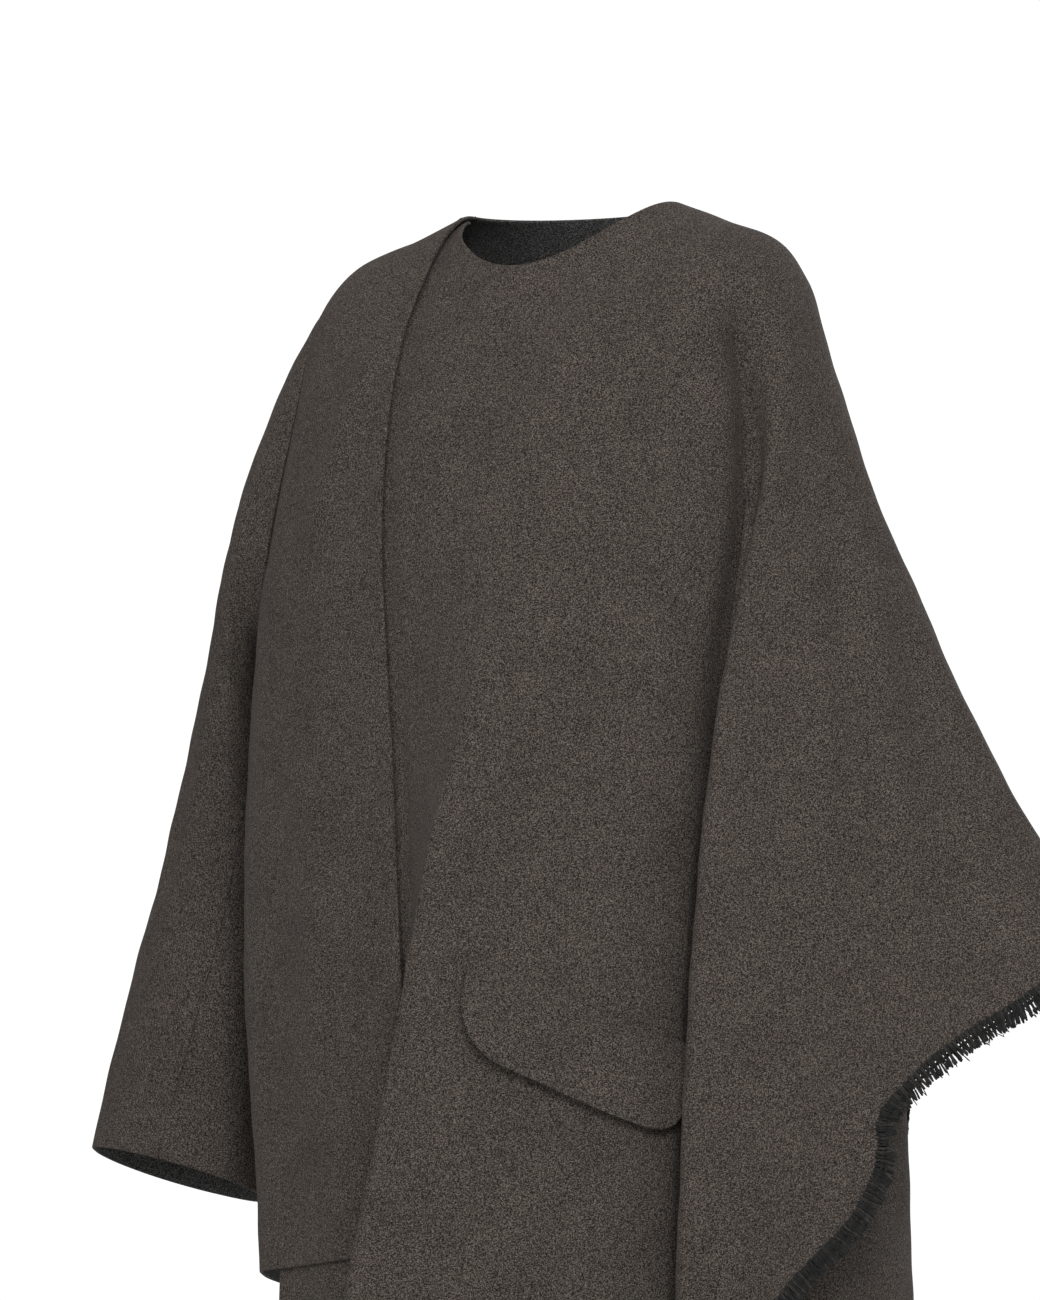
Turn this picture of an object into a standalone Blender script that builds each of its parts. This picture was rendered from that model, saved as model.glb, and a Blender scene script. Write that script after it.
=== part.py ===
# Short wool coat whose left front and back run on into a wide draped wing with a fringed edge.
# Metres, +Z up, the front faces -Y and the wearer's left is +X. The origin is at the neck, level with
# the two high points of the neckline, where the coat hangs on its wearer.
import math
import random

import bmesh
import bpy
from mathutils import Vector

# ---------------------------------------------------------------- driving sizes
WALL = 0.0024             # thickness of the felted wool
SEAM_GAP = 0.0003         # clearance between two sewn pieces
LAP = 0.0037              # how far the left front lies inside the right front
LEFT_SIDE_ROUND = 2.3     # fullness of the body's section under the wing
SLEEVE_ROUND = 2.2        # fullness of the sleeve's section, 2 is an ellipse
FRINGE_PITCH = 0.0044     # from one strand to the next
FRINGE_ROOT = 0.0016      # width of a strand at its root
FRINGE_STRIP = 0.0035     # depth of the strip that carries the strands
FRINGE_THICK = 0.0016
FRINGE_GAP = 0.0005       # between the cloth's edge and the strip, which rounds its corners
FRINGE_LENGTH = 0.0135
FRINGE_SEED = 11
FLAP_LENGTH = 0.158
FLAP_DEPTH = 0.062
FLAP_THICK = 0.0030
FLAP_GAP = 0.0012         # clearance over the rounded front, whose facets it spans
FLAP_LIFT = 0.0032        # how far its lower edge stands off the front
FLAP_SLOPE = 27.0         # degrees down towards the wing
FLAP_START = (0.030, -0.510)   # X and Z of the upper corner at the fold

# One row for each level of the coat, from the neckline down to the hem. The levels of the front, the
# back, the right side and the line along the left arm are points of one ring.
LEVEL_COLUMNS = ("level", "front_y", "front_z", "back_y", "back_z", "side_x", "side_z",
                 "arm_x", "arm_z", "side_round", "arm_round")
LEVELS = (
    (0, -0.080, -0.046, 0.055, 0.001, 0.079, 0.000, 0.079, 0.000, 2.00, 2.00),
    (1, -0.092, -0.075, 0.070, -0.028, 0.118, -0.0155, 0.118, -0.0155, 2.10, 2.10),
    (2, -0.107, -0.105, 0.088, -0.062, 0.160, -0.0300, 0.150, -0.0280, 2.20, 2.15),
    (3, -0.120, -0.140, 0.103, -0.105, 0.187, -0.0600, 0.171, -0.0540, 2.30, 2.10),
    (4, -0.132, -0.190, 0.112, -0.165, 0.202, -0.1150, 0.194, -0.1180, 2.30, 1.95),
    (5, -0.141, -0.260, 0.115, -0.240, 0.220, -0.2050, 0.224, -0.1980, 2.30, 1.82),
    (6, -0.146, -0.350, 0.118, -0.335, 0.234, -0.3200, 0.268, -0.2960, 2.35, 1.76),
    (7, -0.149, -0.450, 0.122, -0.440, 0.239, -0.4300, 0.326, -0.4020, 2.40, 1.75),
    (8, -0.150, -0.550, 0.126, -0.498, 0.236, -0.5350, 0.390, -0.5060, 2.40, 1.75),
    (9, -0.151, -0.655, 0.130, -0.626, 0.227, -0.6400, 0.425, -0.6350, 2.40, 1.80),
    (10, -0.152, -0.765, 0.134, -0.760, 0.220, -0.7450, 0.440, -0.7650, 2.40, 1.85),
)
TIP_LEVEL = 8.0
HEM_LEVEL = 10.0
RIGHT_CORNER_LEVEL = 9.45      # the right front's hem rises towards its free corner

# The armhole of the right sleeve, in levels and in quarter turns either side of the side line.
ARMHOLE_TOP = 2.9
ARMHOLE_FOOT = 5.85
ARMHOLE_REACH = 0.34

# Free edge of the right front, and of the left front under it.
EDGE_COLUMNS = ("height", "right_front_x", "left_front_x")
EDGES = (
    (0.000, -0.0740, -0.0775),
    (-0.030, -0.0760, -0.0860),
    (-0.100, -0.0770, -0.1050),
    (-0.190, -0.0750, -0.1200),
    (-0.380, -0.0570, -0.1450),
    (-0.560, -0.0460, -0.1600),
    (-0.765, -0.0300, -0.1700),
)

# The large fold of the left front: where it rises, its ridge before it leans, and how far it stands
# out and leans over.
FOLD_COLUMNS = ("height", "foot_x", "ridge_x", "out", "lean")
FOLD = (
    (-0.120, -0.050, 0.046, 0.000, 0.000),
    (-0.180, -0.052, 0.040, 0.004, 0.000),
    (-0.250, -0.054, 0.034, 0.013, 0.002),
    (-0.350, -0.048, 0.020, 0.027, 0.004),
    (-0.450, -0.042, 0.006, 0.040, 0.009),
    (-0.540, -0.034, 0.002, 0.050, 0.024),
    (-0.650, -0.026, 0.010, 0.062, 0.049),
    (-0.765, -0.018, 0.022, 0.073, 0.075),
)

# The crease between the body and the wing, on the front and on the back.
CREASE_COLUMNS = ("height", "front_x", "front_depth", "front_roll", "back_x", "back_depth", "back_roll")
CREASE = (
    (0.000, 0.060, 0.000, 0.000, 0.060, 0.000, 0.000),
    (-0.030, 0.115, 0.000, 0.000, 0.113, 0.000, 0.000),
    (-0.080, 0.158, 0.000, 0.000, 0.154, 0.000, 0.000),
    (-0.200, 0.172, 0.012, 0.006, 0.160, 0.008, 0.004),
    (-0.335, 0.165, 0.020, 0.011, 0.150, 0.015, 0.008),
    (-0.500, 0.160, 0.024, 0.014, 0.144, 0.019, 0.011),
    (-0.640, 0.156, 0.025, 0.015, 0.141, 0.021, 0.012),
    (-0.765, 0.153, 0.025, 0.015, 0.140, 0.021, 0.012),
)
CREASE_LEFT_WIDTH = 0.024
CREASE_RIGHT_WIDTH = 0.014
CREASE_BANK = 0.030       # how far the crease reaches towards the front
ROLL_SHIFT = 0.026
ROLL_WIDTH = 0.017
ROLL_END = 0.044
BACK_ROLL_END = 0.038
CREASE_CLEAR = 0.03       # quarter turns beside the arm's line that the crease leaves alone
CREASE_FADE = 0.28        # and those over which it then fades in
ROLL_LEAN = 0.7           # the roll leans over the crease by this share of its height

# Half width of the body under the wing.
LEFT_SIDE_COLUMNS = ("height", "side_x")
LEFT_SIDE = (
    (-0.200, 0.186),
    (-0.300, 0.210),
    (-0.420, 0.227),
    (-0.550, 0.235),
    (-0.765, 0.238),
)
ARMHOLE_SEAM_Z = -0.205        # top of the left side at its seams
ARMHOLE_DIP_Z = -0.275         # and in the middle, under the arm

# The wing's fringed edge, from the tip down to the hem. It runs higher on the back than on the front.
WING_EDGE_COLUMNS = ("height", "x")
WING_FRONT_EDGE = (
    (-0.506, 0.3900),
    (-0.512, 0.3885),
    (-0.525, 0.3800),
    (-0.542, 0.3640),
    (-0.568, 0.3340),
    (-0.597, 0.3060),
    (-0.622, 0.2890),
    (-0.641, 0.2895),
    (-0.674, 0.2785),
    (-0.733, 0.2290),
    (-0.765, 0.2095),
)
WING_BACK_EDGE = (
    (-0.506, 0.3900),
    (-0.510, 0.3780),
    (-0.514, 0.3550),
    (-0.519, 0.3220),
    (-0.526, 0.2880),
    (-0.537, 0.2540),
    (-0.553, 0.2280),
    (-0.575, 0.2080),
    (-0.610, 0.1970),
    (-0.660, 0.1930),
    (-0.765, 0.1910),
)

# Soft hanging folds of the wing and of the back: quarter turn of the fold, height of it at the hem,
# its width in quarter turns, and the level where it starts.
SOFT_FOLD_COLUMNS = ("turn", "height", "width", "start")
SOFT_FOLDS = (
    (0.58, -0.0050, 0.085, 5.2),
    (0.76, 0.0060, 0.090, 5.4),
    (1.26, 0.0060, 0.090, 5.2),
    (1.46, -0.0050, 0.085, 5.4),
    (1.85, 0.0080, 0.110, 4.6),
    (2.28, -0.0050, 0.090, 5.2),
    (2.52, 0.0060, 0.090, 5.6),
    (3.42, 0.0045, 0.090, 3.4),
    (3.60, -0.0030, 0.080, 4.6),
)

# Rings of the right sleeve: the outer and the inner point of each, its reach to front and back, and
# how far its front lies above its middle.
SLEEVE_COLUMNS = ("ring", "outer_x", "outer_z", "inner_x", "inner_z", "front_y", "back_y", "front_rise")
SLEEVE = (
    (0, -0.190, -0.058, -0.224, -0.285, -0.075, 0.075, 0.000),
    (1, -0.221, -0.130, -0.241, -0.305, -0.070, 0.086, 0.000),
    (2, -0.261, -0.220, -0.246, -0.340, -0.056, 0.095, 0.000),
    (3, -0.301, -0.330, -0.248, -0.405, -0.040, 0.098, 0.000),
    (4, -0.333, -0.430, -0.247, -0.480, -0.036, 0.088, 0.003),
    (5, -0.359, -0.530, -0.250, -0.572, -0.042, 0.072, 0.008),
    (6, -0.386, -0.656, -0.260, -0.678, -0.054, 0.052, 0.016),
)
CUFF_RING = 6.0
SLEEVE_BLEND = 1.6             # the ring by which the armhole's shape has passed into the sleeve's
SLEEVE_SEAM = 0.0005           # how far each half of the sleeve stops short of the seam

# The sleeve's seam in front, as an angle round each ring in degrees: 0 is its outer side, 90 its
# front and 180 its inner side. The seam behind runs straight down.
SEAM_LINE_COLUMNS = ("ring", "front_angle")
SEAM_LINE = (
    (0, 150.0),
    (1.6, 150.0),
    (2.4, 144.0),
    (3.2, 134.0),
    (4.3, 119.5),
    (5.4, 107.0),
    (6, 102.0),
)
BACK_SEAM_ANGLE = -90.0

WOOL_COLOUR = (0.060, 0.052, 0.046, 1.0)
YARN_COLOUR = (0.008, 0.007, 0.007, 1.0)


# ---------------------------------------------------------------- curves through the tables
class Curve:
    # A smooth curve through the rows of a table, which never overshoots them.
    def __init__(self, keys, values):
        if keys[0] > keys[-1]:
            keys = keys[::-1]
            values = values[::-1]
        self.keys = keys
        self.values = values
        spans = [b - a for a, b in zip(keys, keys[1:])]
        rises = [(b - a) / span for a, b, span in zip(values, values[1:], spans)]
        self.slopes = [rises[0]]
        for before, after in zip(rises, rises[1:]):
            same_way = before * after > 0.0
            self.slopes.append(2.0 * before * after / (before + after) if same_way else 0.0)
        self.slopes.append(rises[-1])

    def at(self, key):
        last = len(self.keys) - 2
        index = 0
        while index < last and key > self.keys[index + 1]:
            index += 1
        span = self.keys[index + 1] - self.keys[index]
        part = min(max((key - self.keys[index]) / span, 0.0), 1.0)
        rest = 1.0 - part
        start = self.values[index] * (1.0 + 2.0 * part) * rest * rest
        end = self.values[index + 1] * (1.0 + 2.0 * rest) * part * part
        lean = self.slopes[index] * part * rest * rest - self.slopes[index + 1] * part * part * rest
        return start + end + lean * span


def read_table(columns, rows):
    # One curve for each column after the first, which is the key.
    keys = [row[0] for row in rows]
    return {name: Curve(keys, [row[place] for row in rows])
            for place, name in enumerate(columns) if place > 0}


LEVEL = read_table(LEVEL_COLUMNS, LEVELS)
EDGE = read_table(EDGE_COLUMNS, EDGES)
FRONT_FOLD = read_table(FOLD_COLUMNS, FOLD)
CREASES = read_table(CREASE_COLUMNS, CREASE)
SIDE = read_table(LEFT_SIDE_COLUMNS, LEFT_SIDE)
WING_FRONT = read_table(WING_EDGE_COLUMNS, WING_FRONT_EDGE)
WING_BACK = read_table(WING_EDGE_COLUMNS, WING_BACK_EDGE)
SLEEVE_RING = read_table(SLEEVE_COLUMNS, SLEEVE)
SLEEVE_LINE = read_table(SEAM_LINE_COLUMNS, SEAM_LINE)


def mix(first, second, share):
    return first + (second - first) * share


def ease(share):
    share = min(max(share, 0.0), 1.0)
    return share * share * (3.0 - 2.0 * share)


def bell(distance, width):
    return math.exp(-(distance / width) ** 2)


def power(value, exponent):
    return max(value, 0.0) ** exponent


# ---------------------------------------------------------------- the coat's own surface
def quarter(turn):
    # Whether a turn is on the left half and on the front, and its share of the way to the side.
    turn = turn % 4.0
    on_left = turn <= 2.0
    to_side = turn if turn <= 2.0 else 4.0 - turn
    on_front = to_side <= 1.0
    return on_left, on_front, to_side if on_front else 2.0 - to_side


def coat_point(turn, level):
    # Turn 0 is the centre front, 1 the line along the left arm, 2 the centre back, 3 the right side.
    on_left, on_front, share = quarter(turn)
    half = "arm" if on_left else "side"
    face = "front" if on_front else "back"
    exponent = 2.0 / LEVEL[half + "_round"].at(level)
    across = math.sin(share * math.pi / 2.0)
    along = math.cos(share * math.pi / 2.0)
    side = LEVEL[half + "_x"].at(level) * (1.0 if on_left else -1.0)
    x = side * power(across, exponent)
    y = LEVEL[face + "_y"].at(level) * power(along, exponent)
    z = mix(LEVEL[face + "_z"].at(level), LEVEL[half + "_z"].at(level), across ** 2)
    return Vector((x, y, z))


def normal_of(surface, first, second, first_step=0.01, second_step=0.02):
    # Outward normal of a surface of two parameters, from its slopes.
    along = surface(first + first_step, second) - surface(first - first_step, second)
    down = surface(first, second + second_step) - surface(first, second - second_step)
    return down.cross(along).normalized()


def turn_of_x(x, level):
    # The turn on the front whose ring has this X.
    half = "arm" if x >= 0.0 else "side"
    reach = min(abs(x) / LEVEL[half + "_x"].at(level), 1.0)
    share = math.asin(reach ** (LEVEL[half + "_round"].at(level) / 2.0)) * 2.0 / math.pi
    return share if x >= 0.0 else -share


def landmark_turn(level, x_at_height, on_back=False):
    # The turn where a ring crosses a line that is given as X at each height.
    low, high = -1.0, 1.0
    for _ in range(34):
        turn = (low + high) / 2.0
        point = coat_point(2.0 - turn if on_back else turn, level)
        if point.x < x_at_height(point.z):
            low = turn
        else:
            high = turn
    return 2.0 - turn if on_back else turn


def soft_folds(turn, level):
    # How far the soft hanging folds move the cloth out, growing towards the hem.
    total = 0.0
    for centre, height, width, start in SOFT_FOLDS:
        apart = (turn - centre + 2.0) % 4.0 - 2.0
        total += height * bell(apart, width) * ease((level - start) / (HEM_LEVEL - start))
    return total


def draped_point(turn, level):
    # The coat's surface with its soft folds.
    point = coat_point(turn, level)
    away = Vector((point.x, point.y, 0.0))
    if away.length > 0.0:
        point += away.normalized() * soft_folds(turn, level)
    return point


def crease_shift(x, z, face, turn):
    # The crease beside the wing and the roll of cloth that leans over it: X shift and depth. Both
    # fade out towards the line along the arm.
    centre = CREASES[face + "_x"].at(z)
    depth = CREASES[face + "_depth"].at(z)
    roll = CREASES[face + "_roll"].at(z)
    width = CREASE_LEFT_WIDTH if x < centre else CREASE_RIGHT_WIDTH
    fade = ease((abs(1.0 - turn) - CREASE_CLEAR) / CREASE_FADE)
    rise = roll * bell(x - centre - ROLL_SHIFT, ROLL_WIDTH) * fade
    return -rise * ROLL_LEAN, depth * bell(x - centre, width) * fade - rise


def front_fold_share(x, z):
    # 0 at the fold's foot, 1 on its ridge, and gently back to 0 at the crease.
    foot = FRONT_FOLD["foot_x"].at(z)
    ridge = FRONT_FOLD["ridge_x"].at(z)
    end = CREASES["front_x"].at(z)
    if x < ridge:
        return ease((x - foot) / (ridge - foot))
    return 1.0 - ease((x - ridge) / (end - ridge))


def left_front_point(turn, level):
    base = draped_point(turn, level)
    share = front_fold_share(base.x, base.z)
    shift_x, depth = crease_shift(base.x, base.z, "front", turn)
    shift_x -= share * FRONT_FOLD["lean"].at(base.z)
    shift_y = depth - share * FRONT_FOLD["out"].at(base.z)
    apart = base.x - EDGE["right_front_x"].at(base.z)
    lap = LAP * (1.0 - ease((apart - 0.003) / 0.016))
    inward = normal_of(coat_point, turn, level) * -lap
    return base + inward + Vector((shift_x, shift_y, 0.0))


def right_front_point(turn, level):
    return draped_point(turn, level)


def back_point(turn, level):
    base = draped_point(turn, level)
    shift_x, depth = crease_shift(base.x, base.z, "back", turn)
    return base + Vector((shift_x, -depth, 0.0))


# ---------------------------------------------------------------- the edges of each piece
def armhole_reach(level):
    middle = (ARMHOLE_TOP + ARMHOLE_FOOT) / 2.0
    half = (ARMHOLE_FOOT - ARMHOLE_TOP) / 2.0
    return ARMHOLE_REACH * math.sqrt(max(1.0 - ((level - middle) / half) ** 2, 0.0))


def wing_end(level, on_back=False):
    # The turn where the wing ends: the line along the arm, and below the tip its fringed edge.
    if level <= TIP_LEVEL:
        return 1.0
    edge = WING_BACK if on_back else WING_FRONT
    return landmark_turn(level, edge["x"].at, on_back)


def right_edge_turn(level):
    return landmark_turn(level, EDGE["right_front_x"].at)


def left_edge_turn(level):
    return landmark_turn(level, EDGE["left_front_x"].at)


def beside_crease(level):
    # The shoulder is narrow above the crease, so the lines beside it close up there.
    return mix(0.08, 1.0, ease((level - 3.0) / 3.0))


def fold_turn(level):
    return landmark_turn(level, FRONT_FOLD["ridge_x"].at)


def crease_turn(level, shift=0.0, on_back=False):
    # The turn of the crease, or of a line beside it.
    centre = CREASES["back_x" if on_back else "front_x"]
    return landmark_turn(level, lambda height: centre.at(height) + shift * beside_crease(level), on_back)


def coat_levels():
    # Rows are closer where the armhole and the wing's tip turn fast.
    above = [ARMHOLE_TOP * step / 5.0 for step in range(5)]
    middle = (ARMHOLE_TOP + ARMHOLE_FOOT) / 2.0
    half = (ARMHOLE_FOOT - ARMHOLE_TOP) / 2.0
    beside = [middle - half * math.cos(math.pi * step / 10.0) for step in range(11)]
    under = [mix(ARMHOLE_FOOT, TIP_LEVEL, step / 6.0) for step in range(1, 7)]
    below = [mix(TIP_LEVEL, HEM_LEVEL, (step / 10.0) ** 1.6) for step in range(1, 11)]
    return above + beside + under + below


# ---------------------------------------------------------------- walls of cloth
def pulled_in(rows):
    # Moves the border of a grid in by half a seam, so that two sewn pieces stay apart.
    half = SEAM_GAP * 0.6
    for row in rows:
        row[0] = row[0] + (row[1] - row[0]).normalized() * half
        row[-1] = row[-1] + (row[-2] - row[-1]).normalized() * half
    for place in range(len(rows[0])):
        top, under = rows[0][place], rows[1][place]
        rows[0][place] = top + (under - top).normalized() * half
    return rows


def make_object(name, vertices, faces, colour, roughness):
    mesh = bpy.data.meshes.new(name)
    mesh.from_pydata([tuple(vertex) for vertex in vertices], [], faces)
    shape = bmesh.new()
    shape.from_mesh(mesh)
    bmesh.ops.recalc_face_normals(shape, faces=shape.faces[:])
    shape.to_mesh(mesh)
    shape.free()
    mesh.shade_smooth()
    mesh.set_sharp_from_angle(angle=math.radians(50.0))
    material = bpy.data.materials.new(name + "_finish")
    material.use_nodes = True
    shader = material.node_tree.nodes["Principled BSDF"]
    shader.inputs["Base Color"].default_value = colour
    shader.inputs["Roughness"].default_value = roughness
    shader.inputs["Metallic"].default_value = 0.0
    mesh.materials.append(material)
    thing = bpy.data.objects.new(name, mesh)
    bpy.context.collection.objects.link(thing)
    return thing


def cloth_wall(name, rows, normals, thickness=WALL):
    # Closes a grid of points into a wall: its outer side, its inner side and a rim all round.
    height, width = len(rows), len(rows[0])
    half = thickness / 2.0
    outer = [point + normal * half for row, line in zip(rows, normals) for point, normal in zip(row, line)]
    inner = [point - normal * half for row, line in zip(rows, normals) for point, normal in zip(row, line)]
    shift = len(outer)
    faces = []
    for i in range(height - 1):
        for j in range(width - 1):
            a = i * width + j
            b, c, d = a + 1, a + width + 1, a + width
            faces.append((a, d, c, b))
            faces.append((a + shift, b + shift, c + shift, d + shift))
    rim = [j for j in range(width)]
    rim += [i * width + width - 1 for i in range(1, height)]
    rim += [(height - 1) * width + j for j in range(width - 2, -1, -1)]
    rim += [i * width for i in range(height - 2, 0, -1)]
    for a, b in zip(rim, rim[1:] + rim[:1]):
        faces.append((a, b, b + shift, a + shift))
    return make_object(name, outer + inner, faces, WOOL_COLOUR, 0.95)


def spread(landmarks, counts):
    # Values from one landmark to the next, in even steps.
    values = [landmarks[0]]
    for start, end, count in zip(landmarks, landmarks[1:], counts):
        values += [mix(start, end, (step + 1) / count) for step in range(count)]
    return values


def panel(name, surface, levels, turns_at, counts):
    # A piece of the coat, between the turns that turns_at gives for each level.
    rows, normals = [], []
    for level in levels:
        turns = spread(turns_at(level), counts)
        rows.append([surface(turn, level) for turn in turns])
        normals.append([normal_of(surface, turn, level) for turn in turns])
    cloth_wall(name, pulled_in(rows), normals)
    return rows, normals


def make_left_front(levels):
    def turns_at(level):
        return (left_edge_turn(level), right_edge_turn(level), fold_turn(level),
                crease_turn(level, -CREASE_BANK), crease_turn(level), crease_turn(level, ROLL_SHIFT),
                crease_turn(level, ROLL_END), wing_end(level))
    return panel("left_front", left_front_point, levels, turns_at, (3, 6, 4, 3, 3, 3, 8))


def make_back(levels):
    def turns_at(level):
        return (wing_end(level, on_back=True), crease_turn(level, BACK_ROLL_END, on_back=True),
                crease_turn(level, ROLL_SHIFT, on_back=True), crease_turn(level, on_back=True),
                crease_turn(level, -CREASE_BANK, on_back=True), 2.0, 3.0 - armhole_reach(level))
    return panel("back", back_point, levels, turns_at, (8, 3, 3, 3, 4, 8))


def make_right_front(levels):
    def turns_at(level):
        return (-1.0 + armhole_reach(level), right_edge_turn(level))

    def shorter(turn):
        return mix(RIGHT_CORNER_LEVEL / HEM_LEVEL, 1.0, min(-turn, 1.0))

    def surface(turn, level):
        # Below the armhole the rows close up towards the hem, which rises to the free corner.
        part = ease((level - ARMHOLE_FOOT) / (HEM_LEVEL - ARMHOLE_FOOT))
        return right_front_point(turn, level * mix(1.0, shorter(turn), part))
    return panel("right_front", surface, levels, turns_at, (13,))


# ---------------------------------------------------------------- the side of the body under the wing
def level_of_height(height, turn):
    low, high = 0.0, HEM_LEVEL
    for _ in range(30):
        middle = (low + high) / 2.0
        if coat_point(turn, middle).z > height:
            low = middle
        else:
            high = middle
    return (low + high) / 2.0


def seam_point(height, on_back):
    # A point just inside the crease, where the side of the body is sewn to the front or the back.
    x_at = CREASES["back_x"].at if on_back else CREASES["front_x"].at
    surface = back_point if on_back else left_front_point
    turn = 1.5 if on_back else 0.5
    for _ in range(8):
        level = level_of_height(height, turn)
        turn = landmark_turn(level, x_at, on_back)
    inward = WALL + 2.5 * SEAM_GAP
    return surface(turn, level) - normal_of(surface, turn, level) * inward


def left_side_point(share, drop):
    # Share 0 is the seam to the front and 1 the seam to the back; drop 1 is the hem.
    share = min(max(share, 0.0), 1.0)
    top = mix(ARMHOLE_SEAM_Z, ARMHOLE_DIP_Z, math.sin(math.pi * share) ** 0.7)
    height = mix(top, LEVELS[-1][2], drop)
    on_back = share > 0.5
    seam = seam_point(height, on_back)
    angle = math.pi * (1.0 - share if on_back else share)
    across = power(math.sin(angle), 2.0 / LEFT_SIDE_ROUND)
    along = power(math.cos(angle), 2.0 / LEFT_SIDE_ROUND)
    return Vector((mix(seam.x, SIDE["side_x"].at(height), across), seam.y * along, height))


def make_left_side():
    shares = [step / 14.0 for step in range(15)]
    drops = [step / 16.0 for step in range(17)]
    rows = [[left_side_point(share, drop) for share in shares] for drop in drops]
    normals = []
    for i, row in enumerate(rows):
        line = []
        for j in range(len(row)):
            along = row[min(j + 1, len(row) - 1)] - row[max(j - 1, 0)]
            down = rows[min(i + 1, len(rows) - 1)][j] - rows[max(i - 1, 0)][j]
            line.append(down.cross(along).normalized())
        normals.append(line)
    return cloth_wall("left_side", rows, normals)


# ---------------------------------------------------------------- the right sleeve
def armhole_point(angle):
    # Angle 0 is at the shoulder, 90 degrees at the front and 180 at the underarm.
    middle = (ARMHOLE_TOP + ARMHOLE_FOOT) / 2.0
    half = (ARMHOLE_FOOT - ARMHOLE_TOP) / 2.0
    turn = -1.0 + ARMHOLE_REACH * math.sin(angle)
    level = middle - half * math.cos(angle)
    edge = draped_point(turn, level)
    centre = draped_point(-1.0, middle)
    outward = normal_of(coat_point, turn, level)
    into_hole = centre - edge
    into_hole -= outward * into_hole.dot(outward)
    lift = (WALL + SEAM_GAP) * (0.5 - 0.5 * math.cos(angle))
    return edge + into_hole.normalized() * (WALL / 2.0 + 1.5 * SEAM_GAP) + outward * lift


def sleeve_point(angle, ring):
    outer = Vector((SLEEVE_RING["outer_x"].at(ring), 0.0, SLEEVE_RING["outer_z"].at(ring)))
    inner = Vector((SLEEVE_RING["inner_x"].at(ring), 0.0, SLEEVE_RING["inner_z"].at(ring)))
    front = SLEEVE_RING["front_y"].at(ring)
    back = SLEEVE_RING["back_y"].at(ring)
    exponent = 2.0 / SLEEVE_ROUND
    up = math.copysign(power(abs(math.cos(angle)), exponent), math.cos(angle))
    ahead = math.copysign(power(abs(math.sin(angle)), exponent), math.sin(angle))
    centre = (outer + inner) / 2.0
    centre.y = (front + back) / 2.0
    flat = (outer - inner) / 2.0
    rise = SLEEVE_RING["front_rise"].at(ring) * ahead
    point = centre + flat * up + Vector((0.0, (front - back) / 2.0 * ahead, rise))
    if ring < SLEEVE_BLEND:
        point = armhole_point(angle).lerp(point, 1.0 - (1.0 - ring / SLEEVE_BLEND) ** 2)
    return point


def front_seam(ring):
    return math.radians(SLEEVE_LINE["front_angle"].at(ring))


def back_seam(ring):
    return math.radians(BACK_SEAM_ANGLE)


def back_seam_from_inside(ring):
    return back_seam(ring) + 2.0 * math.pi


def make_sleeve_piece(name, first_seam, last_seam, columns):
    rows, normals = [], []
    for step in range(16):
        ring = CUFF_RING * (step / 15.0) ** 1.15
        near = min(max(ring, 0.05), CUFF_RING - 0.05)
        angles = [mix(first_seam(ring), last_seam(ring), place / columns) for place in range(columns + 1)]
        row = [sleeve_point(angle, ring) for angle in angles]
        row[0] = row[0] + (row[1] - row[0]).normalized() * SLEEVE_SEAM
        row[-1] = row[-1] + (row[-2] - row[-1]).normalized() * SLEEVE_SEAM
        rows.append(row)
        normals.append([normal_of(sleeve_point, angle, near, 0.03, 0.04) for angle in angles])
    return cloth_wall(name, rows, normals)


# ---------------------------------------------------------------- the pocket flap
def front_place(x, height):
    # The turn and level of the left front that lie at this X and height once it is folded.
    turn, level = 0.2, 8.0
    for _ in range(40):
        point = left_front_point(turn, level)
        level += (point.z - height) / 0.1
        base_x = coat_point(turn, level).x
        turn = turn_of_x(min(max(base_x + (x - point.x) * 0.5, 0.0), 0.3), level)
    return turn, level


def flap_end(along):
    # The flap's depth at a distance along it: its lower corners are round.
    left_radius, right_radius = 0.034, 0.020
    if along < left_radius:
        gap = (left_radius - along) / left_radius
        return FLAP_DEPTH - left_radius + left_radius * math.sqrt(max(1.0 - gap * gap, 0.0))
    if along > FLAP_LENGTH - right_radius:
        gap = (along - FLAP_LENGTH + right_radius) / right_radius
        return FLAP_DEPTH - right_radius + right_radius * math.sqrt(max(1.0 - gap * gap, 0.0))
    return FLAP_DEPTH


def make_flap():
    slope = math.radians(FLAP_SLOPE)
    places = [FLAP_LENGTH * (0.5 - 0.5 * math.cos(math.pi * step / 18.0)) for step in range(19)]
    rows, normals = [], []
    for step in range(6):
        share = step / 5.0
        row, line = [], []
        for along in places:
            # The flap is foreshortened by the fold's side, so its run in X is shorter than its length.
            down = flap_end(along) * share
            run = along * 0.86
            x = FLAP_START[0] + run * math.cos(slope) - down * 0.12
            height = FLAP_START[1] - run * math.sin(slope) - down * math.cos(slope * 0.4)
            turn, level = front_place(x, height)
            outward = normal_of(left_front_point, turn, level)
            lift = WALL / 2.0 + FLAP_GAP + FLAP_THICK / 2.0 + FLAP_LIFT * share
            row.append(left_front_point(turn, level) + outward * lift)
            line.append(outward)
        rows.append(row)
        normals.append(line)
    return cloth_wall("pocket_flap", rows, normals, FLAP_THICK)


# ---------------------------------------------------------------- the fringe
def wing_edge(levels, front, back):
    # The wing's edge as the two pieces have it, from the front corner up to the tip and down to the
    # back corner.
    first = levels.index(TIP_LEVEL)
    front_edge = [(row[-1], line[-1]) for row, line in zip(*front)][first:]
    back_edge = [(row[0], line[0]) for row, line in zip(*back)][first:]
    return front_edge[::-1] + back_edge


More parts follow.
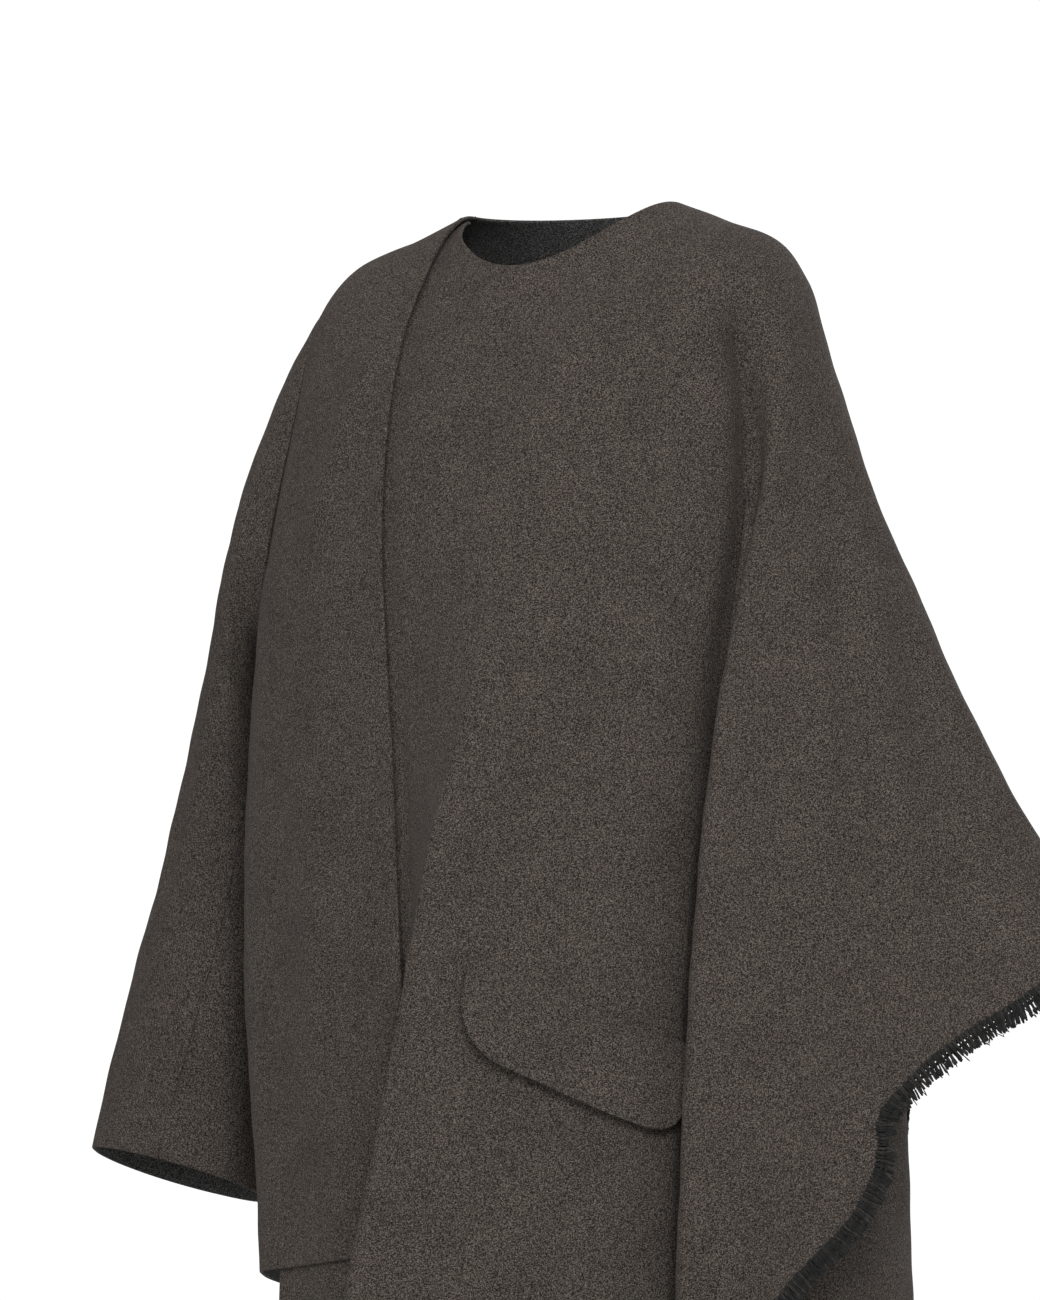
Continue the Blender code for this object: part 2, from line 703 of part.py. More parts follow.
def even_stations(spots, stops):
    # Reads points and normals at distances along the edge.
    distances = [0.0]
    for before, after in zip(spots, spots[1:]):
        distances.append(distances[-1] + (after[0] - before[0]).length)
    total = distances[-1]
    stations = []
    index = 0
    for stop in stops(total):
        while index < len(distances) - 2 and distances[index + 1] < stop:
            index += 1
        share = (stop - distances[index]) / (distances[index + 1] - distances[index])
        point = spots[index][0].lerp(spots[index + 1][0], share)
        normal = spots[index][1].lerp(spots[index + 1][1], share).normalized()
        stations.append((point, normal))
    return stations


def fringe_stops(total):
    # Two stops for each strand: the start and the end of its root.
    count = int((total - 0.006) / FRINGE_PITCH)
    stops = []
    for strand in range(count):
        start = 0.003 + strand * FRINGE_PITCH
        stops += [start, start + FRINGE_ROOT]
    return stops


def make_fringe(edge):
    random.seed(FRINGE_SEED)
    stations = even_stations(edge, fringe_stops)
    half = FRINGE_THICK / 2.0
    vertices, frames = [], []
    for index, (point, normal) in enumerate(stations):
        after = stations[min(index + 3, len(stations) - 1)][0]
        before = stations[max(index - 3, 0)][0]
        tangent = (after - before).normalized()
        outward = normal.cross(tangent).normalized()
        if outward.z > 0.0:
            outward = -outward
        upper = point + outward * FRINGE_GAP
        lower = point + outward * (FRINGE_GAP + FRINGE_STRIP)
        vertices += [upper + normal * half, lower + normal * half, lower - normal * half, upper - normal * half]
        frames.append((tangent, outward, normal))
    faces = [(0, 1, 2, 3)]
    for index in range(len(stations) - 1):
        a = index * 4
        b = a + 4
        faces += [(a, b, b + 1, a + 1), (a + 2, b + 2, b + 3, a + 3), (a + 3, b + 3, b, a)]
        if index % 2 == 1:
            faces.append((a + 1, b + 1, b + 2, a + 2))
            continue
        tangent, outward, normal = frames[index]
        root = (vertices[a + 1] + vertices[b + 1] + vertices[a + 2] + vertices[b + 2]) / 4.0
        length = FRINGE_LENGTH * random.uniform(0.8, 1.15)
        sway = tangent * random.uniform(-0.18, 0.18) + normal * random.uniform(-0.10, 0.14)
        tip = root + (outward + sway + Vector((0.0, 0.0, -0.12))).normalized() * length
        vertices_tip = len(stations) * 4 + index // 2
        for c, d in ((a + 1, b + 1), (b + 1, b + 2), (b + 2, a + 2), (a + 2, a + 1)):
            faces.append((c, d, vertices_tip))
        frames[index] = (tip,)
    last = (len(stations) - 1) * 4
    faces.append((last + 3, last + 2, last + 1, last))
    tips = [frame[0] for frame in frames if len(frame) == 1]
    return make_object("cape_fringe", vertices + tips, faces, YARN_COLOUR, 0.9)


def main():
    for thing in list(bpy.data.objects):
        bpy.data.objects.remove(thing, do_unlink=True)
    levels = coat_levels()
    left_front = make_left_front(levels)
    back = make_back(levels)
    make_right_front(levels)
    make_left_side()
    make_sleeve_piece("right_sleeve_outer", back_seam, front_seam, 12)
    make_sleeve_piece("right_sleeve_inner", front_seam, back_seam_from_inside, 7)
    make_flap()
    make_fringe(wing_edge(levels, left_front, back))


main()
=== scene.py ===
import math

import bpy
import numpy as np
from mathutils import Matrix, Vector


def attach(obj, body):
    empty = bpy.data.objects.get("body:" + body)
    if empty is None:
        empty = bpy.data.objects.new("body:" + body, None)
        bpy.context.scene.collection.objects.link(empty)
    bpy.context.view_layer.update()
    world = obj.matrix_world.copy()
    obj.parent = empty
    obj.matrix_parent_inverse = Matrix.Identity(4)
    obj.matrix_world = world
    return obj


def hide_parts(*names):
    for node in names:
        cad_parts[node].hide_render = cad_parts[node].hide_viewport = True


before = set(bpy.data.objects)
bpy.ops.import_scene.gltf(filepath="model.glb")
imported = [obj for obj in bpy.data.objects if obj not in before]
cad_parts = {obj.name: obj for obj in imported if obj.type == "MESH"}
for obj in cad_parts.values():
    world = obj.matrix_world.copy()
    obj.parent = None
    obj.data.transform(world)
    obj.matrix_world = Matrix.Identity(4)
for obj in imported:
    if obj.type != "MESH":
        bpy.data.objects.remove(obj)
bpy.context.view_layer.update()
print("frame loaded,", len(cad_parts), "nodes")

cloth = {
    "wall": 0.0024,
    "seamGap": 0.0003,
    "pullShare": 0.15,      # share of the gap by which a sewn edge is drawn back
    "freeEdge": 0.0011,     # rounding of a felted free edge
    "seamEdge": 0.0005,     # rounding where two pieces are sewn edge to edge
}


# Curves through tables, and the coat's own surface: turn 0 is the centre front, 1 the line along the
# left arm, 2 the centre back and 3 the right side; level 0 is the neckline and 10 the hem.
def smoothCurve(keys, values):
    keys = np.array(keys, float)
    values = np.array(values, float)
    if keys[0] > keys[-1]:
        keys = keys[::-1]
        values = values[::-1]
    spans = np.diff(keys)
    rises = np.diff(values) / spans
    slopes = np.concatenate([rises[:1], np.zeros(len(keys) - 2), rises[-1:]])
    product = rises[:-1] * rises[1:]
    together = np.where(product > 0.0, rises[:-1] + rises[1:], 1.0)
    slopes[1:-1] = np.where(product > 0.0, 2.0 * product / together, 0.0)

    def at(key):
        key = np.asarray(key, float)
        index = np.clip(np.searchsorted(keys, key, side="right") - 1, 0, len(spans) - 1)
        part = np.clip((key - keys[index]) / spans[index], 0.0, 1.0)
        rest = 1.0 - part
        start = values[index] * (1.0 + 2.0 * part) * rest * rest
        end = values[index + 1] * (1.0 + 2.0 * rest) * part * part
        lean = slopes[index] * part * rest * rest - slopes[index + 1] * part * part * rest
        return start + end + lean * spans[index]
    return at


def curvesOf(columns, rows):
    keys = [row[0] for row in rows]
    return {name: smoothCurve(keys, [row[place + 1] for row in rows]) for place, name in enumerate(columns)}


def mix(first, second, share):
    return first + (second - first) * share


def ease(share):
    share = np.clip(share, 0.0, 1.0)
    return share * share * (3.0 - 2.0 * share)


def bell(distance, width):
    return np.exp(-(distance / width) ** 2)


def xyz(x, y, z):
    return np.stack(np.broadcast_arrays(x, y, z), axis=-1)


def unit(vectors):
    return vectors / np.maximum(np.linalg.norm(vectors, axis=-1, keepdims=True), 1e-12)


ring = curvesOf(("frontY", "frontZ", "backY", "backZ", "sideX", "sideZ", "armX", "armZ",
                 "sideRound", "armRound"), (
    (0, -0.080, -0.046, 0.055, 0.001, 0.079, 0.000, 0.079, 0.000, 2.00, 2.00),
    (1, -0.092, -0.075, 0.070, -0.028, 0.118, -0.0155, 0.118, -0.0155, 2.10, 2.10),
    (2, -0.107, -0.105, 0.088, -0.062, 0.160, -0.0300, 0.150, -0.0280, 2.20, 2.15),
    (3, -0.120, -0.140, 0.103, -0.105, 0.187, -0.0600, 0.171, -0.0540, 2.30, 2.10),
    (4, -0.132, -0.190, 0.112, -0.165, 0.202, -0.1150, 0.194, -0.1180, 2.30, 1.95),
    (5, -0.141, -0.260, 0.115, -0.240, 0.220, -0.2050, 0.224, -0.1980, 2.30, 1.82),
    (6, -0.146, -0.350, 0.118, -0.335, 0.234, -0.3200, 0.268, -0.2960, 2.35, 1.76),
    (7, -0.149, -0.450, 0.122, -0.440, 0.239, -0.4300, 0.326, -0.4020, 2.40, 1.75),
    (8, -0.150, -0.550, 0.126, -0.498, 0.236, -0.5350, 0.390, -0.5060, 2.40, 1.75),
    (9, -0.151, -0.655, 0.130, -0.626, 0.227, -0.6400, 0.425, -0.6350, 2.40, 1.80),
    (10, -0.152, -0.765, 0.134, -0.760, 0.220, -0.7450, 0.440, -0.7650, 2.40, 1.85),
))
hemLevel = 10.0
tipLevel = 8.0

armhole = {"top": 2.9, "foot": 5.85, "reach": 0.34}

# Free edge of the right front, and of the left front under it.
openEdge = curvesOf(("right", "left"), (
    (0.000, -0.0740, -0.0775),
    (-0.030, -0.0760, -0.0860),
    (-0.100, -0.0770, -0.1050),
    (-0.190, -0.0750, -0.1200),
    (-0.380, -0.0570, -0.1450),
    (-0.560, -0.0460, -0.1600),
    (-0.765, -0.0300, -0.1700),
))

# The large fold of the left front: its foot, its ridge, how far it stands out and leans over.
frontFold = curvesOf(("foot", "ridge", "out", "lean"), (
    (-0.120, -0.050, 0.046, 0.000, 0.000),
    (-0.180, -0.052, 0.040, 0.004, 0.000),
    (-0.250, -0.054, 0.034, 0.013, 0.002),
    (-0.350, -0.048, 0.020, 0.027, 0.004),
    (-0.450, -0.042, 0.006, 0.040, 0.009),
    (-0.540, -0.034, 0.002, 0.050, 0.017),
    (-0.650, -0.026, 0.010, 0.062, 0.041),
    (-0.765, -0.018, 0.022, 0.073, 0.072),
))

foldClimb = {"crispFrom": -0.22, "crispRun": 0.16, "crispShare": 0.9, "power": 1.15}
underLap = {"depth": 0.0037, "start": 0.003, "run": 0.016}     # how far it lies under the right front

# The crease between the body and the wing, on the front and on the back.
wingCrease = curvesOf(("frontX", "frontDepth", "frontRoll", "backX", "backDepth", "backRoll"), (
    (0.000, 0.060, 0.000, 0.000, 0.060, 0.000, 0.000),
    (-0.030, 0.115, 0.000, 0.000, 0.113, 0.000, 0.000),
    (-0.080, 0.158, 0.000, 0.000, 0.154, 0.000, 0.000),
    (-0.200, 0.172, 0.012, 0.006, 0.160, 0.008, 0.004),
    (-0.335, 0.165, 0.020, 0.011, 0.150, 0.015, 0.008),
    (-0.500, 0.160, 0.024, 0.014, 0.144, 0.019, 0.011),
    (-0.640, 0.156, 0.025, 0.015, 0.141, 0.021, 0.012),
    (-0.765, 0.153, 0.025, 0.015, 0.140, 0.021, 0.012),
))
creaseShape = {
    "leftWidth": 0.024, "rightWidth": 0.014, "bank": 0.030, "rollShift": 0.026, "rollWidth": 0.017,
    "frontEnd": 0.044, "backEnd": 0.038, "clear": 0.03, "fade": 0.28, "lean": 0.7,
}

# The wing's fringed edge, from the tip down to the hem, higher on the back.
wingFront = curvesOf(("x",), (
    (-0.506, 0.3900), (-0.512, 0.3885), (-0.525, 0.3800), (-0.542, 0.3640), (-0.568, 0.3340),
    (-0.597, 0.3060), (-0.622, 0.2890), (-0.641, 0.2895), (-0.674, 0.2785), (-0.733, 0.2290), (-0.765, 0.2095),
))["x"]
wingBack = curvesOf(("x",), (
    (-0.506, 0.3900), (-0.510, 0.3780), (-0.514, 0.3550), (-0.519, 0.3220), (-0.526, 0.2880),
    (-0.537, 0.2540), (-0.553, 0.2280), (-0.575, 0.2080), (-0.610, 0.1970), (-0.660, 0.1930), (-0.765, 0.1910),
))["x"]

# Soft hanging folds: quarter turn, height at the hem, width in quarter turns, level where it starts.
hangingFolds = (
    (0.58, -0.0050, 0.085, 5.2),
    (0.76, 0.0060, 0.090, 5.4),
    (1.26, 0.0060, 0.090, 5.2),
    (1.46, -0.0050, 0.085, 5.4),
    (1.85, 0.0080, 0.110, 4.6),
    (2.28, -0.0050, 0.090, 5.2),
    (2.52, 0.0060, 0.090, 5.6),
    (3.42, 0.0045, 0.090, 3.4),
    (3.60, -0.0030, 0.080, 4.6),
)


def coatPoint(turn, level):
    turn = np.mod(turn, 4.0)
    onLeft = turn <= 2.0
    toSide = np.where(onLeft, turn, 4.0 - turn)
    onFront = toSide <= 1.0
    share = np.where(onFront, toSide, 2.0 - toSide)
    exponent = 2.0 / np.where(onLeft, ring["armRound"](level), ring["sideRound"](level))
    across = np.maximum(np.sin(share * math.pi / 2.0), 0.0)
    along = np.maximum(np.cos(share * math.pi / 2.0), 0.0)
    side = np.where(onLeft, ring["armX"](level), -ring["sideX"](level))
    sideZ = np.where(onLeft, ring["armZ"](level), ring["sideZ"](level))
    faceY = np.where(onFront, ring["frontY"](level), ring["backY"](level))
    faceZ = np.where(onFront, ring["frontZ"](level), ring["backZ"](level))
    return xyz(side * across ** exponent, faceY * along ** exponent, mix(faceZ, sideZ, across ** 2))


def normalOf(surface, first, second, firstStep=0.01, secondStep=0.02):
    along = surface(first + firstStep, second) - surface(first - firstStep, second)
    down = surface(first, second + secondStep) - surface(first, second - secondStep)
    return unit(np.cross(down, along))


def landmarkTurn(level, xAt, onBack=False):
    # The turn where a ring crosses a line that is given as X at each height.
    level = np.asarray(level, float)
    low = np.full(level.shape, -1.0)
    high = np.full(level.shape, 1.0)
    for _ in range(34):
        turn = (low + high) / 2.0
        point = coatPoint(2.0 - turn if onBack else turn, level)
        short = point[..., 0] < xAt(point[..., 2])
        low = np.where(short, turn, low)
        high = np.where(short, high, turn)
    return 2.0 - turn if onBack else turn


def drapedPoint(turn, level):
    point = coatPoint(turn, level)
    total = np.zeros(point.shape[:-1])
    for centre, height, width, start in hangingFolds:
        apart = np.mod(turn - centre + 2.0, 4.0) - 2.0
        total = total + height * bell(apart, width) * ease((level - start) / (hemLevel - start))
    away = point * np.array((1.0, 1.0, 0.0))
    return point + unit(away) * total[..., None]


def creaseShift(x, z, face, turn):
    # The crease beside the wing and the roll of cloth that leans over it, as X shift and depth.
    shape = creaseShape
    centre = wingCrease[face + "X"](z)
    width = np.where(x < centre, shape["leftWidth"], shape["rightWidth"])
    fade = ease((np.abs(1.0 - turn) - shape["clear"]) / shape["fade"])
    rise = wingCrease[face + "Roll"](z) * bell(x - centre - shape["rollShift"], shape["rollWidth"]) * fade
    return -rise * shape["lean"], wingCrease[face + "Depth"](z) * bell(x - centre, width) * fade - rise


def leftFrontPoint(turn, level):
    base = drapedPoint(turn, level)
    x = base[..., 0]
    z = base[..., 2]
    foot = frontFold["foot"](z)
    ridge = frontFold["ridge"](z)
    climb = np.clip((x - foot) / (ridge - foot), 0.0, 1.0)
    crisp = foldClimb["crispShare"] * ease((foldClimb["crispFrom"] - z) / foldClimb["crispRun"])
    climb = mix(ease(climb), climb ** foldClimb["power"], crisp)
    share = np.where(x < ridge, climb, 1.0 - ease((x - ridge) / (wingCrease["frontX"](z) - ridge)))
    shiftX, depth = creaseShift(x, z, "front", turn)
    shiftX = shiftX - share * frontFold["lean"](z)
    shiftY = depth - share * frontFold["out"](z)
    lap = underLap["depth"] * (1.0 - ease((x - openEdge["right"](z) - underLap["start"]) / underLap["run"]))
    return base - normalOf(coatPoint, turn, level) * lap[..., None] + xyz(shiftX, shiftY, 0.0)


def backPoint(turn, level):
    base = drapedPoint(turn, level)
    shiftX, depth = creaseShift(base[..., 0], base[..., 2], "back", turn)
    return base + xyz(shiftX, -depth, 0.0)


def armholeReach(level):
    middle = (armhole["top"] + armhole["foot"]) / 2.0
    half = (armhole["foot"] - armhole["top"]) / 2.0
    return armhole["reach"] * np.sqrt(np.maximum(1.0 - ((level - middle) / half) ** 2, 0.0))


def wingEnd(level, onBack=False):
    edge = landmarkTurn(np.maximum(level, tipLevel + 1e-6), wingBack if onBack else wingFront, onBack)
    return np.where(level <= tipLevel, 1.0, edge)


def creaseTurn(level, shift=0.0, onBack=False):
    # The shoulder is narrow above the crease, so the lines beside it close up there.
    centre = wingCrease["backX" if onBack else "frontX"]
    beside = mix(0.08, 1.0, ease((level - 3.0) / 3.0))
    return landmarkTurn(level, lambda height: centre(height) + shift * beside, onBack)


def coatLevels(fine):
    # Rows are closer where the armhole and the wing's tip turn fast.
    above = armhole["top"] * np.arange(5 * fine) / (5 * fine)
    middle = (armhole["top"] + armhole["foot"]) / 2.0
    half = (armhole["foot"] - armhole["top"]) / 2.0
    beside = middle - half * np.cos(math.pi * np.arange(10 * fine) / (10 * fine))
    under = mix(armhole["foot"], tipLevel, np.arange(6 * fine) / (6 * fine))
    below = mix(tipLevel, hemLevel, (np.arange(10 * fine + 1) / (10 * fine)) ** 1.6)
    return np.concatenate([above, beside, under, below])


def spread(landmarks, counts):
    # Even steps from one landmark line to the next, for all rows together.
    columns = [landmarks[0][:, None]]
    for start, end, count in zip(landmarks, landmarks[1:], counts):
        shares = (np.arange(count) + 1.0) / count
        columns.append(start[:, None] + (end - start)[:, None] * shares[None, :])
    return np.concatenate(columns, axis=1)


# Creases that are smaller than the form: start and end in X and Z, bow, width and height. They are
# uneven on purpose. Waver is the slight unevenness of felted cloth.
def creaseHeight(x, z, creases):
    total = np.zeros(np.shape(x))
    for startX, startZ, endX, endZ, bow, width, height in creases:
        runX = endX - startX
        runZ = endZ - startZ
        length = math.hypot(runX, runZ)
        share = ((x - startX) * runX + (z - startZ) * runZ) / length ** 2
        across = ((x - startX) * runZ - (z - startZ) * runX) / length
        across = across - bow * 4.0 * share * (1.0 - share)
        spreadOut = width * (0.75 + 0.5 * np.clip(share, 0.0, 1.0))
        total = total + height * bell(across, spreadOut) * np.exp(-(np.abs(share - 0.5) / 0.46) ** 4)
    return total


def waver(x, z, seed, size=0.0006):
    first = np.sin(x * 61.0 + z * 23.0 + seed) * np.sin(z * 47.0 - x * 19.0 + seed * 1.7)
    second = np.sin(x * 113.0 - z * 71.0 + seed * 2.3) * np.sin(z * 97.0 + x * 53.0 + seed * 0.6)
    return size * (first + 0.55 * second)


def gridNormals(points):
    return unit(np.cross(np.gradient(points, axis=0), np.gradient(points, axis=1)))


def runsOf(points):
    # Distances across and down a grid, which serve as its cut coordinates.
    across = np.linalg.norm(np.diff(points, axis=1), axis=-1)
    down = np.linalg.norm(np.diff(points, axis=0), axis=-1)
    u = np.concatenate([np.zeros((points.shape[0], 1)), np.cumsum(across, axis=1)], axis=1)
    v = np.concatenate([np.zeros((1, points.shape[1])), np.cumsum(down, axis=0)], axis=0)
    return u, v


def nearSeams(points, seams, width=0.022):
    # 0 on the sewn sides of a grid and 1 away from them, so that neighbours meet.
    u, v = runsOf(points)
    away = np.ones(u.shape)
    if "first" in seams:
        away = away * ease(u / width)
    if "last" in seams:
        away = away * ease((u[:, -1:] - u) / width)
    if "top" in seams:
        away = away * ease(v / width)
    return away


def makeMesh(name, vertices, faces, finishes, faceFinish, uv):
    mesh = bpy.data.meshes.new(name)
    mesh.from_pydata(np.asarray(vertices).tolist(), [], np.asarray(faces).tolist())
    for finish in finishes:
        mesh.materials.append(finish)
    mesh.polygons.foreach_set("material_index", np.asarray(faceFinish, np.int32))
    corners = np.zeros(len(mesh.loops), np.int32)
    mesh.loops.foreach_get("vertex_index", corners)
    layer = mesh.uv_layers.new(name="cut")
    layer.data.foreach_set("uv", np.asarray(uv, np.float32)[corners].ravel())
    mesh.shade_smooth()
    piece = bpy.data.objects.new(name, mesh)
    bpy.context.scene.collection.objects.link(piece)
    return piece


def borderOf(points, free, pulled):
    # Walks round a grid: indices, direction away from the cloth, and rounding at each border point.
    rows, columns = points.shape[:2]
    away = np.zeros(points.shape)
    room = np.full(points.shape[:2], 1.0)
    radius = np.full(points.shape[:2], cloth["freeEdge"])
    gap = np.zeros(points.shape[:2])
    sides = {
        "top": (np.s_[0, :], np.s_[1, :]),
        "bottom": (np.s_[-1, :], np.s_[-2, :]),
        "first": (np.s_[:, 0], np.s_[:, 1]),
        "last": (np.s_[:, -1], np.s_[:, -2]),
    }
    for side, (edge, beside) in sides.items():
        step = points[edge] - points[beside]
        away[edge] += unit(step)
        room[edge] = np.minimum(room[edge], np.linalg.norm(step, axis=-1))
        if side not in free:
            radius[edge] = cloth["seamEdge"]
        if side in pulled:
            gap[edge] = np.maximum(gap[edge], cloth["seamGap"] * cloth["pullShare"])
    index = np.arange(rows * columns).reshape(rows, columns)
    walk = np.concatenate([index[0, :], index[1:, -1], index[-1, -2::-1], index[-2:0:-1, 0]])
    away = unit(away).reshape(-1, 3)
    reach = np.minimum(radius, room * 0.55).reshape(-1)
    return walk, away, reach, gap.reshape(-1)


def clothPiece(name, points, normals, free, pulled, finishes, wall=None):
    # A wall of cloth round a grid of points, with its free and sewn edges rounded.
    rows, columns = points.shape[:2]
    thick = cloth["wall"] if wall is None else wall
    half = np.broadcast_to(np.asarray(thick) / 2.0, (rows, columns)).reshape(-1)
    u, v = runsOf(points)
    uv = np.stack([u, v], axis=-1).reshape(-1, 2)
    walk, away, reach, gap = borderOf(points, free, pulled)
    reach = np.minimum(reach, half * 0.95)
    middle = points.reshape(-1, 3).copy()
    lift = normals.reshape(-1, 3)
    middle[walk] -= away[walk] * (reach + gap)[walk, None]
    layers = [middle + lift * half[:, None], middle - lift * half[:, None]]
    total = rows * columns
    index = np.arange(total).reshape(rows, columns)
    a = index[:-1, :-1].ravel()
    b = index[:-1, 1:].ravel()
    c = index[1:, 1:].ravel()
    d = index[1:, :-1].ravel()
    faces = [np.stack([a, d, c, b], axis=1), np.stack([a, b, c, d], axis=1) + total]
    faceFinish = [np.zeros(len(a)), np.ones(len(a))]
    uvs = [uv, uv]
    angles = [(60, 1), (30, 1), (4, 1), (-4, -1), (-30, -1), (-60, -1)]
    strips = [walk]
    start = 2 * total
    for angle, side in angles:
        turned = math.radians(angle)
        out = reach[walk] * math.cos(turned)
        up = side * (half[walk] - reach[walk]) + reach[walk] * math.sin(turned)
        layers.append(middle[walk] + away[walk] * out[:, None] + lift[walk] * up[:, None])
        uvs.append(uv[walk] + (half[walk] - up)[:, None] * 0.7)
        strips.append(np.arange(start, start + len(walk)))
        start += len(walk)
    strips.append(walk + total)
    for place, (upper, lower) in enumerate(zip(strips, strips[1:])):
        faces.append(np.stack([upper, np.roll(upper, -1), np.roll(lower, -1), lower], axis=1))
        faceFinish.append(np.full(len(walk), 0 if place < 4 else 1))
    return makeMesh(name, np.concatenate(layers), np.concatenate(faces), finishes,
                    np.concatenate(faceFinish), np.concatenate(uvs))


# Finishes. The cloth is double faced: brownish grey melange outside and near black inside.
def addNode(tree, kind, place, **values):
    node = tree.nodes.new(kind)
    node.location = place
    for name, value in values.items():
        if name in node.inputs:
            node.inputs[name].default_value = value
        else:
            setattr(node, name, value)
    return node


def rampStops(ramp, stops):
    elements = ramp.color_ramp.elements
    while len(elements) < len(stops):
        elements.new(0.5)
    for element, (place, colour) in zip(elements, stops):
        element.position = place
        element.color = (*colour, 1.0)


def woolFinish(name, dark, middle, light, fleck, sheen):
    # Speckle of mixed fibres under 1 mm, short flecks, cloudy variation and a felted nap.
    finish = bpy.data.materials.new(name)
    finish.use_nodes = True
    tree = finish.node_tree
    shader = tree.nodes["Principled BSDF"]
    shader.inputs["Roughness"].default_value = 0.92
    shader.inputs["Specular IOR Level"].default_value = 0.18
    shader.inputs["Sheen Weight"].default_value = sheen
    shader.inputs["Sheen Roughness"].default_value = 0.55
    shader.inputs["Sheen Tint"].default_value = (0.80, 0.70, 0.64, 1.0)
    link = tree.links.new
    place = addNode(tree, "ShaderNodeTexCoord", (-1500, 200))
    cutMap = addNode(tree, "ShaderNodeUVMap", (-1500, -200), uv_map="cut")
    grain = addNode(tree, "ShaderNodeTexNoise", (-1200, 400), Scale=1150.0, Detail=2.0, Roughness=0.75)
    link(place.outputs["Object"], grain.inputs["Vector"])
    speckle = addNode(tree, "ShaderNodeValToRGB", (-950, 400))
    rampStops(speckle, [(0.38, dark), (0.50, middle), (0.63, light)])
    link(grain.outputs["Fac"], speckle.inputs["Fac"])
    weft = addNode(tree, "ShaderNodeMapping", (-1300, -100), Scale=(520.0, 1500.0, 1.0))
    link(cutMap.outputs["UV"], weft.inputs["Vector"])
    fibres = addNode(tree, "ShaderNodeTexNoise", (-1100, -100), Scale=1.0, Detail=1.5, Roughness=0.6)
    link(weft.outputs["Vector"], fibres.inputs["Vector"])
    lightFibres = addNode(tree, "ShaderNodeMapRange", (-900, -100))
    lightFibres.inputs["From Min"].default_value = 0.60
    lightFibres.inputs["From Max"].default_value = 0.76
    link(fibres.outputs["Fac"], lightFibres.inputs["Value"])
    withFlecks = addNode(tree, "ShaderNodeMix", (-650, 300), data_type="RGBA")
    withFlecks.inputs[7].default_value = (*fleck, 1.0)
    link(lightFibres.outputs["Result"], withFlecks.inputs[0])
    link(speckle.outputs["Color"], withFlecks.inputs[6])
    clouds = addNode(tree, "ShaderNodeTexNoise", (-1200, -400), Scale=26.0, Detail=4.0, Roughness=0.6)
    link(place.outputs["Object"], clouds.inputs["Vector"])
    cloudRange = addNode(tree, "ShaderNodeValToRGB", (-950, -400))
    cloudStops = [(0.30, (0.90, 0.88, 0.87)), (0.50, (1.0, 0.995, 0.98)), (0.70, (1.09, 1.07, 1.06))]
    rampStops(cloudRange, cloudStops)
    link(clouds.outputs["Fac"], cloudRange.inputs["Fac"])
    clouded = addNode(tree, "ShaderNodeMix", (-400, 200), data_type="RGBA", blend_type="MULTIPLY")
    clouded.inputs[0].default_value = 1.0
    link(withFlecks.outputs[2], clouded.inputs[6])
    link(cloudRange.outputs["Color"], clouded.inputs[7])
    link(clouded.outputs[2], shader.inputs["Base Color"])
    rows = addNode(tree, "ShaderNodeTexWave", (-1100, -700), Scale=210.0, Distortion=5.0, Detail=2.0,
                   bands_direction="Y")
    rows.inputs["Detail Scale"].default_value = 3.0
    link(cutMap.outputs["UV"], rows.inputs["Vector"])
    nap = addNode(tree, "ShaderNodeTexNoise", (-1100, -950), Scale=420.0, Detail=5.0, Roughness=0.7)
    link(place.outputs["Object"], nap.inputs["Vector"])
    weave = addNode(tree, "ShaderNodeMix", (-800, -800), data_type="FLOAT")
    weave.inputs[0].default_value = 0.80
    link(rows.outputs["Fac"], weave.inputs[2])
    link(nap.outputs["Fac"], weave.inputs[3])
    bump = addNode(tree, "ShaderNodeBump", (-400, -600), Strength=0.55, Distance=0.0007)
    link(weave.outputs[0], bump.inputs["Height"])
    link(bump.outputs["Normal"], shader.inputs["Normal"])
    return finish


def yarnFinish(name, dark, light):
    finish = bpy.data.materials.new(name)
    finish.use_nodes = True
    tree = finish.node_tree
    shader = tree.nodes["Principled BSDF"]
    shader.inputs["Roughness"].default_value = 0.62
    shader.inputs["Specular IOR Level"].default_value = 0.40
    shader.inputs["Sheen Weight"].default_value = 0.10
    link = tree.links.new
    place = addNode(tree, "ShaderNodeTexCoord", (-900, 0))
    hair = addNode(tree, "ShaderNodeTexNoise", (-700, 0), Scale=900.0, Detail=3.0, Roughness=0.7)
    link(place.outputs["Object"], hair.inputs["Vector"])
    tone = addNode(tree, "ShaderNodeValToRGB", (-450, 0))
    rampStops(tone, [(0.35, dark), (0.70, light)])
    link(hair.outputs["Fac"], tone.inputs["Fac"])
    link(tone.outputs["Color"], shader.inputs["Base Color"])
    bump = addNode(tree, "ShaderNodeBump", (-300, -300), Strength=0.6, Distance=0.0003)
    link(hair.outputs["Fac"], bump.inputs["Height"])
    link(bump.outputs["Normal"], shader.inputs["Normal"])
    return finish


woolOutside = woolFinish("woolOutside", (0.010, 0.008, 0.007), (0.052, 0.043, 0.038), (0.200, 0.170, 0.150),
                         (0.300, 0.262, 0.234), 0.05)
woolInside = woolFinish("woolInside", (0.006, 0.006, 0.006), (0.048, 0.047, 0.048), (0.190, 0.185, 0.185),
                        (0.220, 0.215, 0.215), 0.03)
blackYarn = yarnFinish("blackYarn", (0.0015, 0.0015, 0.0015), (0.012, 0.0115, 0.011))
greyYarn = yarnFinish("greyYarn", (0.006, 0.0055, 0.005), (0.052, 0.048, 0.045))
woolFaces = (woolOutside, woolInside)
print("finishes made")


def finishPiece(piece, node):
    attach(piece, "root")
    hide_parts(node)
    return piece


fine = 6
levels = coatLevels(fine)

